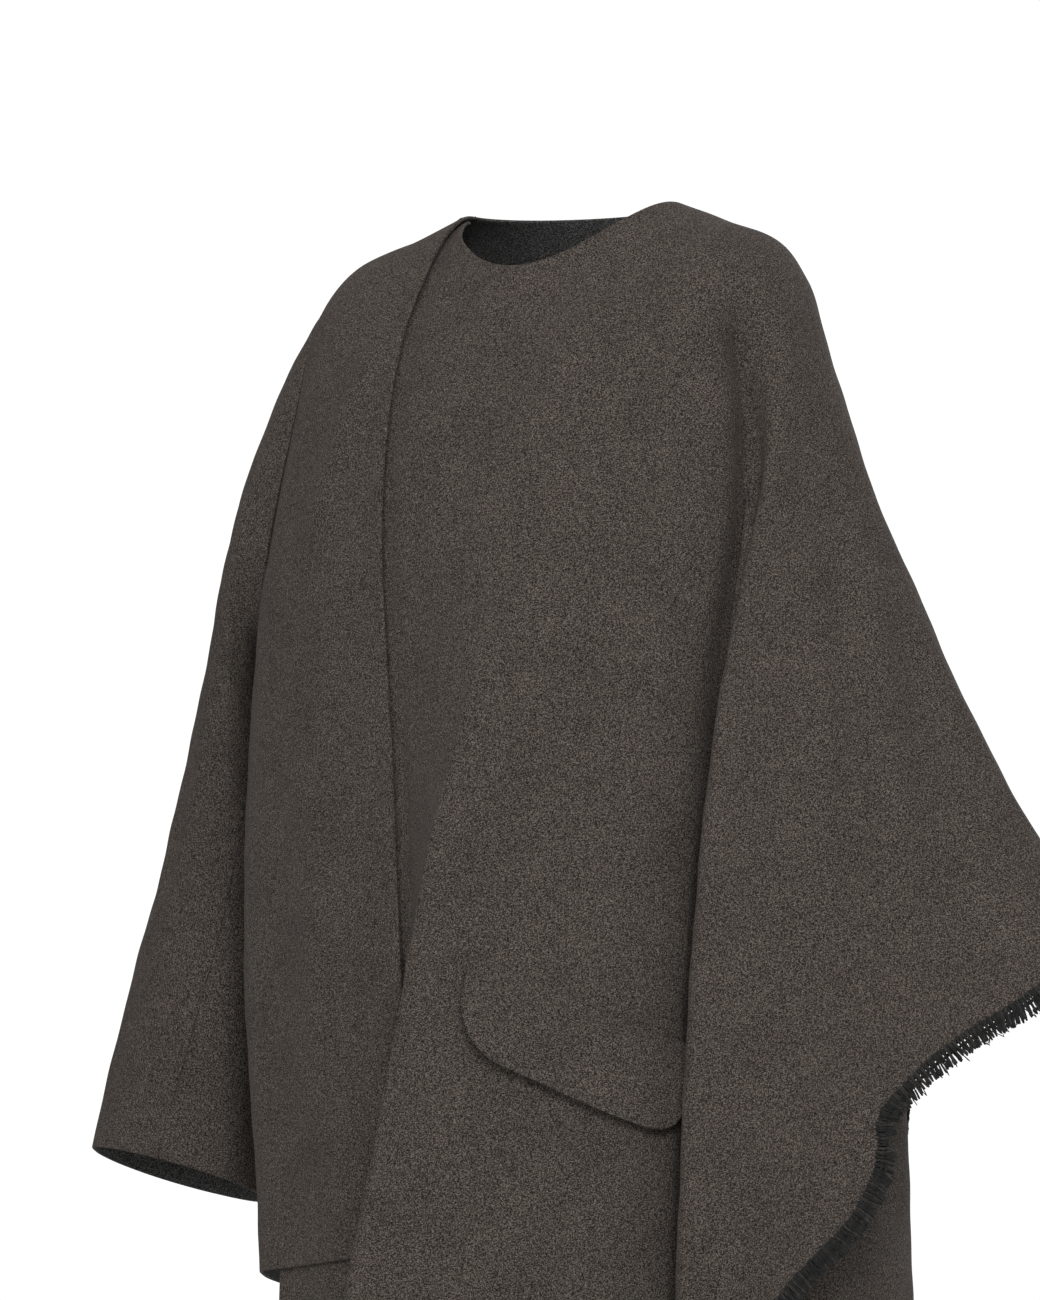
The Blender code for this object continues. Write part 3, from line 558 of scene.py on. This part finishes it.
leftFront = {
    "columns": (3, 6, 4, 3, 3, 3, 8),
    "groove": {"top": -0.060, "run": 0.060, "shift": 0.001, "width": 0.0085, "depth": 0.0150},
    "roll": {"shift": 0.0180, "width": 0.0080, "height": 0.0036},
    "foldRidge": {"top": -0.190, "run": 0.150, "shift": 0.004, "width": 0.0045, "height": 0.0012},
    "creases": (
        (0.070, -0.060, 0.040, -0.230, 0.006, 0.024, 0.0018),
        (0.095, -0.150, 0.108, -0.420, -0.004, 0.022, -0.0016),
        (0.062, -0.240, 0.070, -0.500, 0.003, 0.020, 0.0012),
        (0.100, -0.420, 0.086, -0.740, -0.003, 0.024, 0.0016),
        (0.044, -0.560, 0.046, -0.750, 0.002, 0.016, -0.0012),
        (0.215, -0.190, 0.288, -0.620, -0.005, 0.011, -0.0058),
        (0.236, -0.230, 0.314, -0.600, -0.004, 0.012, 0.0036),
        (0.262, -0.250, 0.345, -0.545, 0.004, 0.021, -0.0085),
        (0.186, -0.330, 0.196, -0.700, -0.006, 0.018, 0.0018),
        (0.226, -0.420, 0.242, -0.720, 0.004, 0.016, -0.0018),
        (-0.020, -0.130, 0.012, -0.300, 0.004, 0.020, -0.0012),
    ),
}


def makeLeftFront():
    turns = spread([
        landmarkTurn(levels, openEdge["left"]), landmarkTurn(levels, openEdge["right"]),
        landmarkTurn(levels, frontFold["ridge"]), creaseTurn(levels, -creaseShape["bank"]),
        creaseTurn(levels),
        creaseTurn(levels, creaseShape["rollShift"]), creaseTurn(levels, creaseShape["frontEnd"]),
        wingEnd(levels),
    ], [count * fine for count in leftFront["columns"]])
    rows = np.broadcast_to(levels[:, None], turns.shape)
    points = leftFrontPoint(turns, rows)
    base = coatPoint(turns, rows)
    x = base[..., 0]
    z = base[..., 2]
    armSeam = np.where(rows < tipLevel, ease((1.0 - turns) / 0.16), 1.0)
    clear = ease((x - openEdge["right"](z) - 0.012) / 0.03) * armSeam * ease(runsOf(points)[1] / 0.02)
    height = (creaseHeight(x, z, leftFront["creases"]) + waver(x, z, 0.4)) * clear
    fromCrease = x - wingCrease["frontX"](z)
    groove = leftFront["groove"]
    roll = leftFront["roll"]
    sharp = ease((groove["top"] - z) / groove["run"]) * armSeam
    height = height - groove["depth"] * bell(fromCrease - groove["shift"], groove["width"]) * sharp
    height = height + roll["height"] * bell(fromCrease - roll["shift"], roll["width"]) * sharp
    fold = leftFront["foldRidge"]
    fromRidge = x - frontFold["ridge"](z)
    crisp = ease((fold["top"] - z) / fold["run"])
    height = height + fold["height"] * bell(fromRidge - fold["shift"], fold["width"]) * crisp
    points = points + gridNormals(points) * height[..., None]
    normals = gridNormals(points)
    piece = clothPiece("leftFrontCloth", points, normals, ("top", "bottom", "first", "last"),
                       ("top", "first", "last"), woolFaces)
    return finishPiece(piece, "left_front"), points, normals


back = {
    "columns": (8, 3, 3, 3, 4, 8),
    "creases": (
        (0.050, -0.060, 0.086, -0.300, 0.006, 0.022, 0.0020),
        (-0.060, -0.070, -0.110, -0.280, -0.006, 0.022, 0.0020),
        (-0.010, -0.120, 0.014, -0.480, 0.005, 0.026, -0.0022),
        (0.060, -0.300, 0.070, -0.700, -0.004, 0.024, 0.0022),
        (-0.090, -0.320, -0.074, -0.720, 0.004, 0.020, -0.0020),
        (-0.140, -0.250, -0.150, -0.560, 0.004, 0.024, 0.0018),
        (0.200, -0.160, 0.255, -0.500, -0.008, 0.014, -0.0026),
        (0.225, -0.210, 0.318, -0.500, -0.006, 0.018, 0.0026),
        (0.104, -0.420, 0.112, -0.740, 0.003, 0.014, -0.0014),
        (-0.030, -0.520, -0.036, -0.750, -0.003, 0.018, 0.0018),
    ),
}


def makeBack():
    turns = spread([
        wingEnd(levels, True), creaseTurn(levels, creaseShape["backEnd"], True),
        creaseTurn(levels, creaseShape["rollShift"], True), creaseTurn(levels, 0.0, True),
        creaseTurn(levels, -creaseShape["bank"], True), np.full(levels.shape, 2.0),
        3.0 - armholeReach(levels),
    ], [count * fine for count in back["columns"]])
    rows = np.broadcast_to(levels[:, None], turns.shape)
    points = backPoint(turns, rows)
    base = coatPoint(turns, rows)
    x = base[..., 0]
    z = base[..., 2]
    armSeam = np.where(rows < tipLevel, ease((turns - 1.0) / 0.16), 1.0)
    clear = nearSeams(points, ("last", "top")) * armSeam
    height = (creaseHeight(x, z, back["creases"]) + waver(x, z, 2.1)) * clear
    points = points + gridNormals(points) * height[..., None]
    normals = gridNormals(points)
    piece = clothPiece("backCloth", points, normals, ("top", "bottom", "first"),
                       ("top", "first", "last"), woolFaces)
    return finishPiece(piece, "back"), points, normals


rightFront = {
    "columns": 13,
    "cornerLevel": 9.45,
    "edgeRoll": 0.0009,       # the free edge stands up a little
    "creases": (
        (-0.098, -0.085, -0.148, -0.245, -0.003, 0.013, 0.0046),
        (-0.076, -0.110, -0.114, -0.260, -0.004, 0.012, -0.0012),
        (-0.170, -0.150, -0.196, -0.330, 0.004, 0.018, 0.0020),
        (-0.120, -0.300, -0.128, -0.620, 0.004, 0.022, 0.0022),
        (-0.170, -0.360, -0.166, -0.700, -0.003, 0.022, -0.0020),
        (-0.205, -0.420, -0.198, -0.720, 0.002, 0.016, 0.0018),
        (-0.092, -0.540, -0.096, -0.730, 0.002, 0.016, 0.0014),
    ),
}


def makeRightFront():
    turns = spread([-1.0 + armholeReach(levels), landmarkTurn(levels, openEdge["right"])],
                   [rightFront["columns"] * fine])
    rows = np.broadcast_to(levels[:, None], turns.shape)
    shorter = mix(rightFront["cornerLevel"] / hemLevel, 1.0, np.minimum(-turns, 1.0))
    part = ease((rows - armhole["foot"]) / (hemLevel - armhole["foot"]))
    rows = rows * mix(1.0, shorter, part)
    points = drapedPoint(turns, rows)
    x = points[..., 0]
    z = points[..., 2]
    u = runsOf(points)[0]
    toEdge = u[:, -1:] - u
    relief = creaseHeight(x, z, rightFront["creases"]) + waver(x, z, 4.2)
    overLap = 1.0 - ease((toEdge - 0.05) / 0.06)
    relief = np.where(relief < 0.0, relief * (1.0 - overLap), relief)
    height = relief * nearSeams(points, ("first", "top"))
    height = height + rightFront["edgeRoll"] * bell(toEdge - 0.003, 0.005)
    points = points + gridNormals(points) * height[..., None]
    normals = gridNormals(points)
    piece = clothPiece("rightFrontCloth", points, normals, ("top", "bottom", "last"),
                       ("top", "first", "last"), woolFaces)
    return finishPiece(piece, "right_front")


leftFrontPiece, leftFrontGrid, leftFrontNormals = makeLeftFront()
backPiece, backGrid, backNormals = makeBack()
rightFrontPiece = makeRightFront()
print("fronts and back made")

# The side of the body under the wing.
leftSide = {
    "round": 2.3,
    "seamTop": -0.205,
    "dip": -0.275,
    "hem": -0.765,
    "inward": cloth["wall"] + 2.5 * cloth["seamGap"],
    "halfWidth": curvesOf(("x",), ((-0.200, 0.186), (-0.300, 0.210), (-0.420, 0.227), (-0.550, 0.235),
                                   (-0.765, 0.238)))["x"],
    "creases": (
        (0.30, 0.05, 0.36, 0.90, 0.010, 0.070, -0.0026),
        (0.52, 0.10, 0.55, 0.95, -0.012, 0.080, 0.0030),
        (0.74, 0.12, 0.70, 0.92, 0.008, 0.065, -0.0024),
    ),
}


def levelOfHeight(height, turn):
    low = np.zeros(np.shape(height))
    high = np.full(np.shape(height), hemLevel)
    for _ in range(30):
        middle = (low + high) / 2.0
        above = coatPoint(turn, middle)[..., 2] > height
        low = np.where(above, middle, low)
        high = np.where(above, high, middle)
    return (low + high) / 2.0


def seamPoint(height, onBack):
    xAt = wingCrease["backX" if onBack else "frontX"]
    surface = backPoint if onBack else leftFrontPoint
    turn = np.full(np.shape(height), 1.5 if onBack else 0.5)
    for _ in range(8):
        level = levelOfHeight(height, turn)
        turn = landmarkTurn(level, xAt, onBack)
    return surface(turn, level) - normalOf(surface, turn, level) * leftSide["inward"]


def makeLeftSide():
    shares = np.arange(14 * fine + 1) / (14 * fine)
    drops = np.arange(16 * fine + 1) / (16 * fine)
    share, drop = np.meshgrid(shares, drops)
    top = mix(leftSide["seamTop"], leftSide["dip"], np.maximum(np.sin(math.pi * share), 0.0) ** 0.7)
    height = mix(top, leftSide["hem"], drop)
    seam = np.where((share > 0.5)[..., None], seamPoint(height, True), seamPoint(height, False))
    angle = math.pi * np.where(share > 0.5, 1.0 - share, share)
    across = np.maximum(np.sin(angle), 0.0) ** (2.0 / leftSide["round"])
    along = np.maximum(np.cos(angle), 0.0) ** (2.0 / leftSide["round"])
    points = xyz(mix(seam[..., 0], leftSide["halfWidth"](height), across), seam[..., 1] * along, height)
    relief = creaseHeight(share, drop, leftSide["creases"]) + waver(share * 0.3, height, 1.3)
    relief = relief * ease(share / 0.12) * ease((1.0 - share) / 0.12)
    points = points + gridNormals(points) * relief[..., None]
    piece = clothPiece("leftSideCloth", points, gridNormals(points), ("top", "bottom"), (), woolFaces)
    return finishPiece(piece, "left_side")


leftSidePiece = makeLeftSide()

# The right sleeve: each ring's outer and inner point, its reach to front and back, and its rise.
sleeveRing = curvesOf(("outerX", "outerZ", "innerX", "innerZ", "frontY", "backY", "frontRise"), (
    (0, -0.190, -0.058, -0.224, -0.285, -0.075, 0.075, 0.000),
    (1, -0.221, -0.130, -0.241, -0.305, -0.070, 0.086, 0.000),
    (2, -0.261, -0.220, -0.246, -0.340, -0.056, 0.095, 0.000),
    (3, -0.301, -0.330, -0.248, -0.405, -0.040, 0.098, 0.000),
    (4, -0.333, -0.430, -0.247, -0.480, -0.036, 0.088, 0.003),
    (5, -0.359, -0.530, -0.250, -0.572, -0.042, 0.072, 0.008),
    (6, -0.386, -0.656, -0.260, -0.678, -0.054, 0.052, 0.016),
))
# The seam in front, as an angle round each ring: 0 is the outer side and 90 the front.
sleeveSeam = curvesOf(("front",), (
    (0, 150.0), (1.6, 150.0), (2.4, 144.0), (3.2, 134.0), (4.3, 119.5), (5.4, 107.0), (6, 102.0),
))["front"]
sleeve = {
    "round": 2.2,
    "blend": 1.6,
    "cuffRing": 6.0,
    "outerCreases": (
        (-1.10, 0.70, -0.70, 3.60, 0.10, 0.20, 0.0026),
        (-0.45, 1.10, -0.20, 4.60, -0.08, 0.22, -0.0020),
        (0.70, 0.60, 0.50, 3.40, 0.10, 0.20, 0.0024),
        (1.15, 1.80, 1.00, 5.20, 0.05, 0.18, -0.0020),
        (0.10, 3.60, 0.35, 5.80, 0.06, 0.22, 0.0018),
    ),
    "innerCreases": (
        (1.80, 1.10, 3.00, 2.30, 0.12, 0.18, -0.0030),
        (2.20, 2.50, 3.50, 3.30, -0.10, 0.20, -0.0034),
        (3.00, 3.00, 4.40, 3.70, 0.10, 0.22, 0.0034),
        (3.20, 3.80, 3.60, 5.60, 0.08, 0.24, -0.0022),
        (4.10, 4.20, 4.30, 5.70, -0.05, 0.20, 0.0020),
    ),
}


def armholePoint(angle):
    # The sleeve's top edge lies just under the edge of the armhole.
    middle = (armhole["top"] + armhole["foot"]) / 2.0
    half = (armhole["foot"] - armhole["top"]) / 2.0
    turn = -1.0 + armhole["reach"] * np.sin(angle)
    level = middle - half * np.cos(angle)
    edge = drapedPoint(turn, level)
    centre = drapedPoint(np.full(np.shape(turn), -1.0), np.full(np.shape(turn), middle))
    outward = normalOf(coatPoint, turn, level)
    intoHole = centre - edge
    intoHole = unit(intoHole - outward * np.sum(intoHole * outward, axis=-1, keepdims=True))
    lift = (cloth["wall"] + cloth["seamGap"]) * (0.5 - 0.5 * np.cos(angle))
    return edge + intoHole * (cloth["wall"] / 2.0 - cloth["seamGap"]) + outward * lift[..., None]


def sleevePoint(angle, ringAt):
    table = sleeveRing
    outer = xyz(table["outerX"](ringAt), 0.0, table["outerZ"](ringAt))
    inner = xyz(table["innerX"](ringAt), 0.0, table["innerZ"](ringAt))
    front = table["frontY"](ringAt)
    behind = table["backY"](ringAt)
    exponent = 2.0 / sleeve["round"]
    up = np.sign(np.cos(angle)) * np.abs(np.cos(angle)) ** exponent
    ahead = np.sign(np.sin(angle)) * np.abs(np.sin(angle)) ** exponent
    centre = (outer + inner) / 2.0 + xyz(0.0, (front + behind) / 2.0, 0.0)
    point = centre + (outer - inner) / 2.0 * up[..., None]
    point = point + xyz(0.0, (front - behind) / 2.0 * ahead, table["frontRise"](ringAt) * ahead)
    share = (1.0 - np.clip(1.0 - ringAt / sleeve["blend"], 0.0, 1.0) ** 2)[..., None]
    return mix(armholePoint(angle), point, share)


def makeSleevePiece(name, node, onOuter, columns, creases, seed):
    rings = sleeve["cuffRing"] * (np.arange(24 * fine + 1) / (24 * fine)) ** 1.15
    shares, ringAt = np.meshgrid(np.arange(columns * fine + 1) / (columns * fine), rings)
    frontAngle = np.radians(sleeveSeam(ringAt))
    firstAngle = -math.pi / 2.0 if onOuter else frontAngle
    lastAngle = frontAngle if onOuter else math.pi * 1.5
    angle = mix(firstAngle, lastAngle, shares)
    points = sleevePoint(angle, ringAt)
    normals = gridNormals(points)
    relief = creaseHeight(angle, ringAt, creases) + waver(angle * 0.09, ringAt * 0.11, seed)
    relief = relief * ease((angle - firstAngle) / 0.25) * ease((lastAngle - angle) / 0.25)
    relief = relief * ease(ringAt / 0.6)
    axis = (points[:, :1] + points[:, -1:]) / 2.0
    if np.sum(normals * (points - axis)) < 0.0:
        normals = -normals
        points = points[:, ::-1]
        normals = normals[:, ::-1]
        relief = relief[:, ::-1]
    points = points + normals * relief[..., None]
    piece = clothPiece(name, points, gridNormals(points), ("bottom",), ("first", "last"), woolFaces)
    return finishPiece(piece, node)


sleeveOuterPiece = makeSleevePiece("sleeveOuterCloth", "right_sleeve_outer", True, 12,
                                   sleeve["outerCreases"], 3.1)
sleeveInnerPiece = makeSleevePiece("sleeveInnerCloth", "right_sleeve_inner", False, 7,
                                   sleeve["innerCreases"], 5.6)
print("side and sleeve made")

flap = {
    "length": 0.158, "depth": 0.062, "thick": 0.0038, "gap": 0.0012, "lift": 0.0072, "slope": 27.0,
    "start": (0.030, -0.510), "leftRadius": 0.034, "rightRadius": 0.020,
    "sewn": 0.0020, "sewnGap": 0.0006, "sewnShare": 0.16,     # pressed flat where it is sewn on
    "runShare": 0.86, "endLean": 0.12, "dropShare": 0.4,      # how its length and drop lie on the slope
    "wave": 0.0010, "waveRate": 34.0, "acrossSteps": 90, "downSteps": 36,
}


def makeFlap():
    steps = np.arange(flap["acrossSteps"] + 1)
    along = flap["length"] * (0.5 - 0.5 * np.cos(math.pi * steps / flap["acrossSteps"]))
    depth = np.full(along.shape, flap["depth"])
    gap = np.clip((flap["leftRadius"] - along) / flap["leftRadius"], 0.0, 1.0)
    depth = depth - flap["leftRadius"] * (1.0 - np.sqrt(1.0 - gap * gap))
    gap = np.clip((along - flap["length"] + flap["rightRadius"]) / flap["rightRadius"], 0.0, 1.0)
    depth = depth - flap["rightRadius"] * (1.0 - np.sqrt(1.0 - gap * gap))
    share = (np.arange(flap["downSteps"] + 1) / flap["downSteps"])[:, None]
    down = depth[None, :] * share
    slope = math.radians(flap["slope"])
    run = along[None, :] * flap["runShare"]
    x = flap["start"][0] + run * math.cos(slope) - down * flap["endLean"]
    z = flap["start"][1] - run * math.sin(slope) - down * math.cos(slope * flap["dropShare"])
    turn = np.full(x.shape, 0.2)
    level = np.full(x.shape, 8.0)
    for _ in range(40):
        point = leftFrontPoint(turn, level)
        level = level + (point[..., 2] - z) / 0.1
        baseX = np.clip(coatPoint(turn, level)[..., 0] + (x - point[..., 0]) * 0.5, 0.0, 0.3)
        reach = np.minimum(baseX / ring["armX"](level), 1.0)
        turn = np.arcsin(reach ** (ring["armRound"](level) / 2.0)) * 2.0 / math.pi
    outward = normalOf(leftFrontPoint, turn, level)
    pressed = 1.0 - ease(share / flap["sewnShare"])
    thick = np.broadcast_to(mix(flap["thick"], flap["sewn"], pressed), x.shape)
    gap = mix(flap["gap"], flap["sewnGap"], pressed)
    lift = cloth["wall"] / 2.0 + gap + thick / 2.0 + flap["lift"] * share
    lift = lift + flap["wave"] * np.sin(along[None, :] * flap["waveRate"] + 0.6) * share ** 2
    points = leftFrontPoint(turn, level) + outward * lift[..., None]
    piece = clothPiece("flapCloth", points, outward, ("top", "bottom", "first", "last"), (), woolFaces, thick)
    return finishPiece(piece, "pocket_flap")


flapPiece = makeFlap()
print("flap made")

# The fringe: a narrow braided strip along the wing's edge, with short yarn ends whipped over it.
fringe = {
    "pitch": 0.0037, "length": 0.0088, "overCloth": 0.0042, "yarn": 0.00076, "yarns": 3, "apart": 0.00123,
    "hair": 0.00034, "gap": 0.0005, "seed": 11, "greyShare": 0.34, "hangFrom": -0.545, "hang": 0.80,
    "braidYarn": 0.00075, "braidStep": 0.0009, "braidTwist": 1500.0, "braidOut": 0.0015, "ends": 0.003,
}


def tube(path, radius, sides):
    # Vertices and faces of a closed thread along a path.
    tangent = unit(np.gradient(path, axis=0))
    helper = np.where(np.abs(tangent[:, 2:3]) > 0.8, (1.0, 0.0, 0.0), (0.0, 0.0, 1.0))
    first = unit(np.cross(tangent, helper))
    second = np.cross(tangent, first)
    angles = np.arange(sides) * 2.0 * math.pi / sides
    taper = np.sqrt(np.clip(np.minimum(np.arange(len(path)), np.arange(len(path))[::-1]) * 0.9 + 0.35, 0, 1))
    around = first[:, None] * np.cos(angles)[None, :, None] + second[:, None] * np.sin(angles)[None, :, None]
    vertices = (path[:, None] + around * (radius * taper)[:, None, None]).reshape(-1, 3)
    faces = []
    for step in range(len(path) - 1):
        for side in range(sides):
            a = step * sides + side
            b = step * sides + (side + 1) % sides
            faces.append((a, b, b + sides, a + sides))
    last = (len(path) - 1) * sides
    for side in range(1, sides - 1, 2):
        faces.append((0, min(side + 2, sides - 1), side + 1, side))
        faces.append((last, last + side, last + side + 1, last + min(side + 2, sides - 1)))
    return vertices, [face for face in faces if len(set(face)) == 4]


def makeFringe():
    tip = int(np.searchsorted(levels, tipLevel - 1e-9))
    edge = np.concatenate([leftFrontGrid[tip:, -1][::-1], backGrid[tip:, 0]])
    lift = np.concatenate([leftFrontNormals[tip:, -1][::-1], backNormals[tip:, 0]])
    keep = np.concatenate([[True], np.linalg.norm(np.diff(edge, axis=0), axis=1) > 1e-5])
    edge = edge[keep]
    lift = unit(lift[keep])
    stops = np.concatenate([[0.0], np.cumsum(np.linalg.norm(np.diff(edge, axis=0), axis=1))])
    total = stops[-1]
    tipStop = stops[int(np.argmax(edge[:, 0]))]

    def placeAt(stop):
        point = np.stack([np.interp(stop, stops, edge[:, k]) for k in range(3)], axis=-1)
        ahead = np.stack([np.interp(stop + 0.006, stops, edge[:, k]) for k in range(3)], axis=-1)
        before = np.stack([np.interp(stop - 0.006, stops, edge[:, k]) for k in range(3)], axis=-1)
        up = unit(np.stack([np.interp(stop, stops, lift[:, k]) for k in range(3)], axis=-1))
        tangent = unit(ahead - before)
        outward = unit(np.cross(up, tangent))
        flip = np.where(outward[..., 2:3] > 0.0, -1.0, 1.0)
        return point, tangent, outward * flip, up

    dice = np.random.default_rng(fringe["seed"])
    vertices = []
    faces = []
    faceFinish = []
    count = 0

    def addThread(path, radius, sides, finishIndex):
        nonlocal count
        some, around = tube(path, radius, sides)
        vertices.append(some)
        faces.extend([tuple(index + count for index in face) for face in around])
        faceFinish.extend([finishIndex] * len(around))
        count += len(some)

    # Three yarns twisted round each other make the braid at the cloth's edge.
    braid = np.arange(0.001, total - 0.001, fringe["braidStep"])
    point, tangent, outward, up = placeAt(braid)
    for phase, side in ((0.0, 0.0), (2.1, 0.4), (4.2, -0.3)):
        wind = braid * fringe["braidTwist"] + phase
        reach = fringe["gap"] + fringe["braidOut"] + 0.0007 * np.cos(wind) + 0.0003 * side
        path = point + outward * reach[:, None] + up * (0.0005 * np.sin(wind))[:, None]
        addThread(path, fringe["braidYarn"], 6, 0)
    stop = fringe["ends"]
    while stop < total - fringe["ends"]:
        point, tangent, outward, up = placeAt(np.array(stop))
        lean = 0.16 * math.sin(stop * 83.0) + 0.12 * math.sin(stop * 211.0 + 1.0) + dice.normal(0.0, 0.04)
        # On the upright edge behind, the yarns hang down along it.
        hanging = 0.0
        if stop > tipStop:
            hanging = fringe["hang"] * float(ease((fringe["hangFrom"] - point[2]) / 0.04))
        outward = unit(mix(outward, np.array((0.0, 0.0, -1.0)), hanging))
        outer = fringe["length"] * dice.uniform(0.90, 1.10)
        for number in range(fringe["yarns"] + 1):
            # Each yarn is whipped over the edge and doubles back under itself, with a loose hair beside it.
            loose = number == fringe["yarns"]
            aside = (number - 1.0) * fringe["apart"] + dice.normal(0.0, 0.00020)
            start = fringe["overCloth"] * dice.uniform(0.80, 1.10)
            reachOut = outer * dice.uniform(0.92, 1.08) * (dice.uniform(0.9, 1.35) if loose else 1.0)
            share = np.linspace(0.0, 1.0, 13)
            turned = np.clip(share / 0.82, 0.0, 1.0)
            along = mix(-start, reachOut, turned) - 0.0030 * ease((share - 0.80) / 0.20)
            height = cloth["wall"] / 2.0 + 0.0004 + 0.0013 * np.sin(np.clip(turned * 1.8, 0.0, 1.0) * math.pi)
            height = height - 0.0014 * ease(along / 0.005) - 0.0022 * ease((share - 0.78) / 0.22)
            height = height + dice.normal(0.0, 0.00045)
            bend = (lean + dice.normal(0.0, 0.22 if loose else 0.06)) * np.maximum(along, 0.0)
            curl = dice.normal(0.0, 0.0012 if loose else 0.0004) * np.sin(share * math.pi * 1.6)
            droop = -0.08 * np.maximum(along, 0.0) ** 2 / fringe["length"]
            path = point + outward * along[:, None] + tangent * (aside + bend + curl)[:, None]
            path = path + up * height[:, None] + np.array((0.0, 0.0, 1.0)) * droop[:, None]
            grey = dice.random() < fringe["greyShare"]
            thick = fringe["hair"] if loose else fringe["yarn"]
            addThread(path, thick * dice.uniform(0.88, 1.15), 4 if loose else 6, 1 if grey else 0)
        stop += fringe["pitch"] * dice.uniform(0.92, 1.08)
    vertices = np.concatenate(vertices)
    piece = makeMesh("fringeYarn", vertices, faces, (blackYarn, greyYarn), faceFinish, vertices[:, :2])
    return finishPiece(piece, "cape_fringe")


fringePiece = makeFringe()
print("fringe made")

# Pale floor, soft studio light and the camera of the photograph.
studio = {"floorHeight": -1.42, "floorSize": 7.0}


def makeFloor():
    half = studio["floorSize"] / 2.0
    z = studio["floorHeight"]
    mesh = bpy.data.meshes.new("floor")
    corners = [(-half, -half, z), (half, -half, z), (half, half, z), (-half, half, z)]
    mesh.from_pydata(corners, [], [(0, 1, 2, 3)])
    finish = bpy.data.materials.new("paleFloor")
    finish.use_nodes = True
    shader = finish.node_tree.nodes["Principled BSDF"]
    shader.inputs["Base Color"].default_value = (0.70, 0.70, 0.69, 1.0)
    shader.inputs["Roughness"].default_value = 0.9
    mesh.materials.append(finish)
    floor = bpy.data.objects.new("floor", mesh)
    bpy.context.scene.collection.objects.link(floor)


def addLight(name, place, target, size, power):
    light = bpy.data.lights.new(name, "AREA")
    light.shape = "RECTANGLE"
    light.size = size[0]
    light.size_y = size[1]
    light.energy = power
    thing = bpy.data.objects.new(name, light)
    thing.location = place
    thing.rotation_euler = (Vector(target) - Vector(place)).to_track_quat("-Z", "Y").to_euler()
    bpy.context.scene.collection.objects.link(thing)


def makeSurroundings():
    world = bpy.data.worlds.new("studioWhite")
    bpy.context.scene.world = world
    world.use_nodes = True
    tree = world.node_tree
    light = tree.nodes["Background"]
    light.inputs["Color"].default_value = (1.0, 1.0, 1.0, 1.0)
    # Less light comes from below than from above.
    around = tree.nodes.new("ShaderNodeTexCoord")
    upward = tree.nodes.new("ShaderNodeSeparateXYZ")
    strength = tree.nodes.new("ShaderNodeMapRange")
    strength.inputs["From Min"].default_value = -1.0
    strength.inputs["To Min"].default_value = 0.07
    strength.inputs["To Max"].default_value = 0.47
    tree.links.new(around.outputs["Generated"], upward.inputs[0])
    tree.links.new(upward.outputs["Z"], strength.inputs["Value"])
    tree.links.new(strength.outputs["Result"], light.inputs["Strength"])
    shown = tree.nodes.new("ShaderNodeBackground")
    shown.inputs["Color"].default_value = (1.0, 1.0, 1.0, 1.0)
    shown.inputs["Strength"].default_value = 1.05
    path = tree.nodes.new("ShaderNodeLightPath")
    either = tree.nodes.new("ShaderNodeMixShader")
    tree.links.new(path.outputs["Is Camera Ray"], either.inputs[0])
    tree.links.new(light.outputs[0], either.inputs[1])
    tree.links.new(shown.outputs[0], either.inputs[2])
    tree.links.new(either.outputs[0], tree.nodes["World Output"].inputs["Surface"])


makeFloor()
makeSurroundings()
addLight("keySoftbox", (2.10, -3.00, 0.95), (0.05, 0.0, -0.40), (0.9, 1.1), 53.0)
addLight("frontSoftbox", (-0.6, -3.3, 0.7), (0.0, 0.0, -0.35), (1.6, 1.8), 12.0)
addLight("topSoftbox", (0.3, -0.5, 2.2), (0.0, 0.0, -0.2), (2.0, 1.6), 5.0)
addLight("backFill", (0.4, 2.8, 0.9), (0.0, 0.0, -0.40), (2.2, 2.0), 20.0)

shot = {"distance": 4.2, "azimuth": 30.0, "height": -0.529, "lens": 169.8, "yaw": 0.514, "tilt": 3.08}


def makeCamera():
    data = bpy.data.cameras.new("photoCamera")
    data.lens = shot["lens"]
    data.sensor_width = 36.0
    data.clip_start = 0.1
    data.clip_end = 60.0
    camera = bpy.data.objects.new("photoCamera", data)
    turned = math.radians(shot["azimuth"])
    away = shot["distance"]
    camera.location = (away * math.sin(turned), -away * math.cos(turned), shot["height"])
    camera.rotation_euler = (math.radians(90.0 + shot["tilt"]), 0.0, turned + math.radians(shot["yaw"]))
    bpy.context.scene.collection.objects.link(camera)
    bpy.context.scene.camera = camera


makeCamera()
bpy.context.scene.view_settings.view_transform = "Standard"      # tones as they are lit
print("studio set")
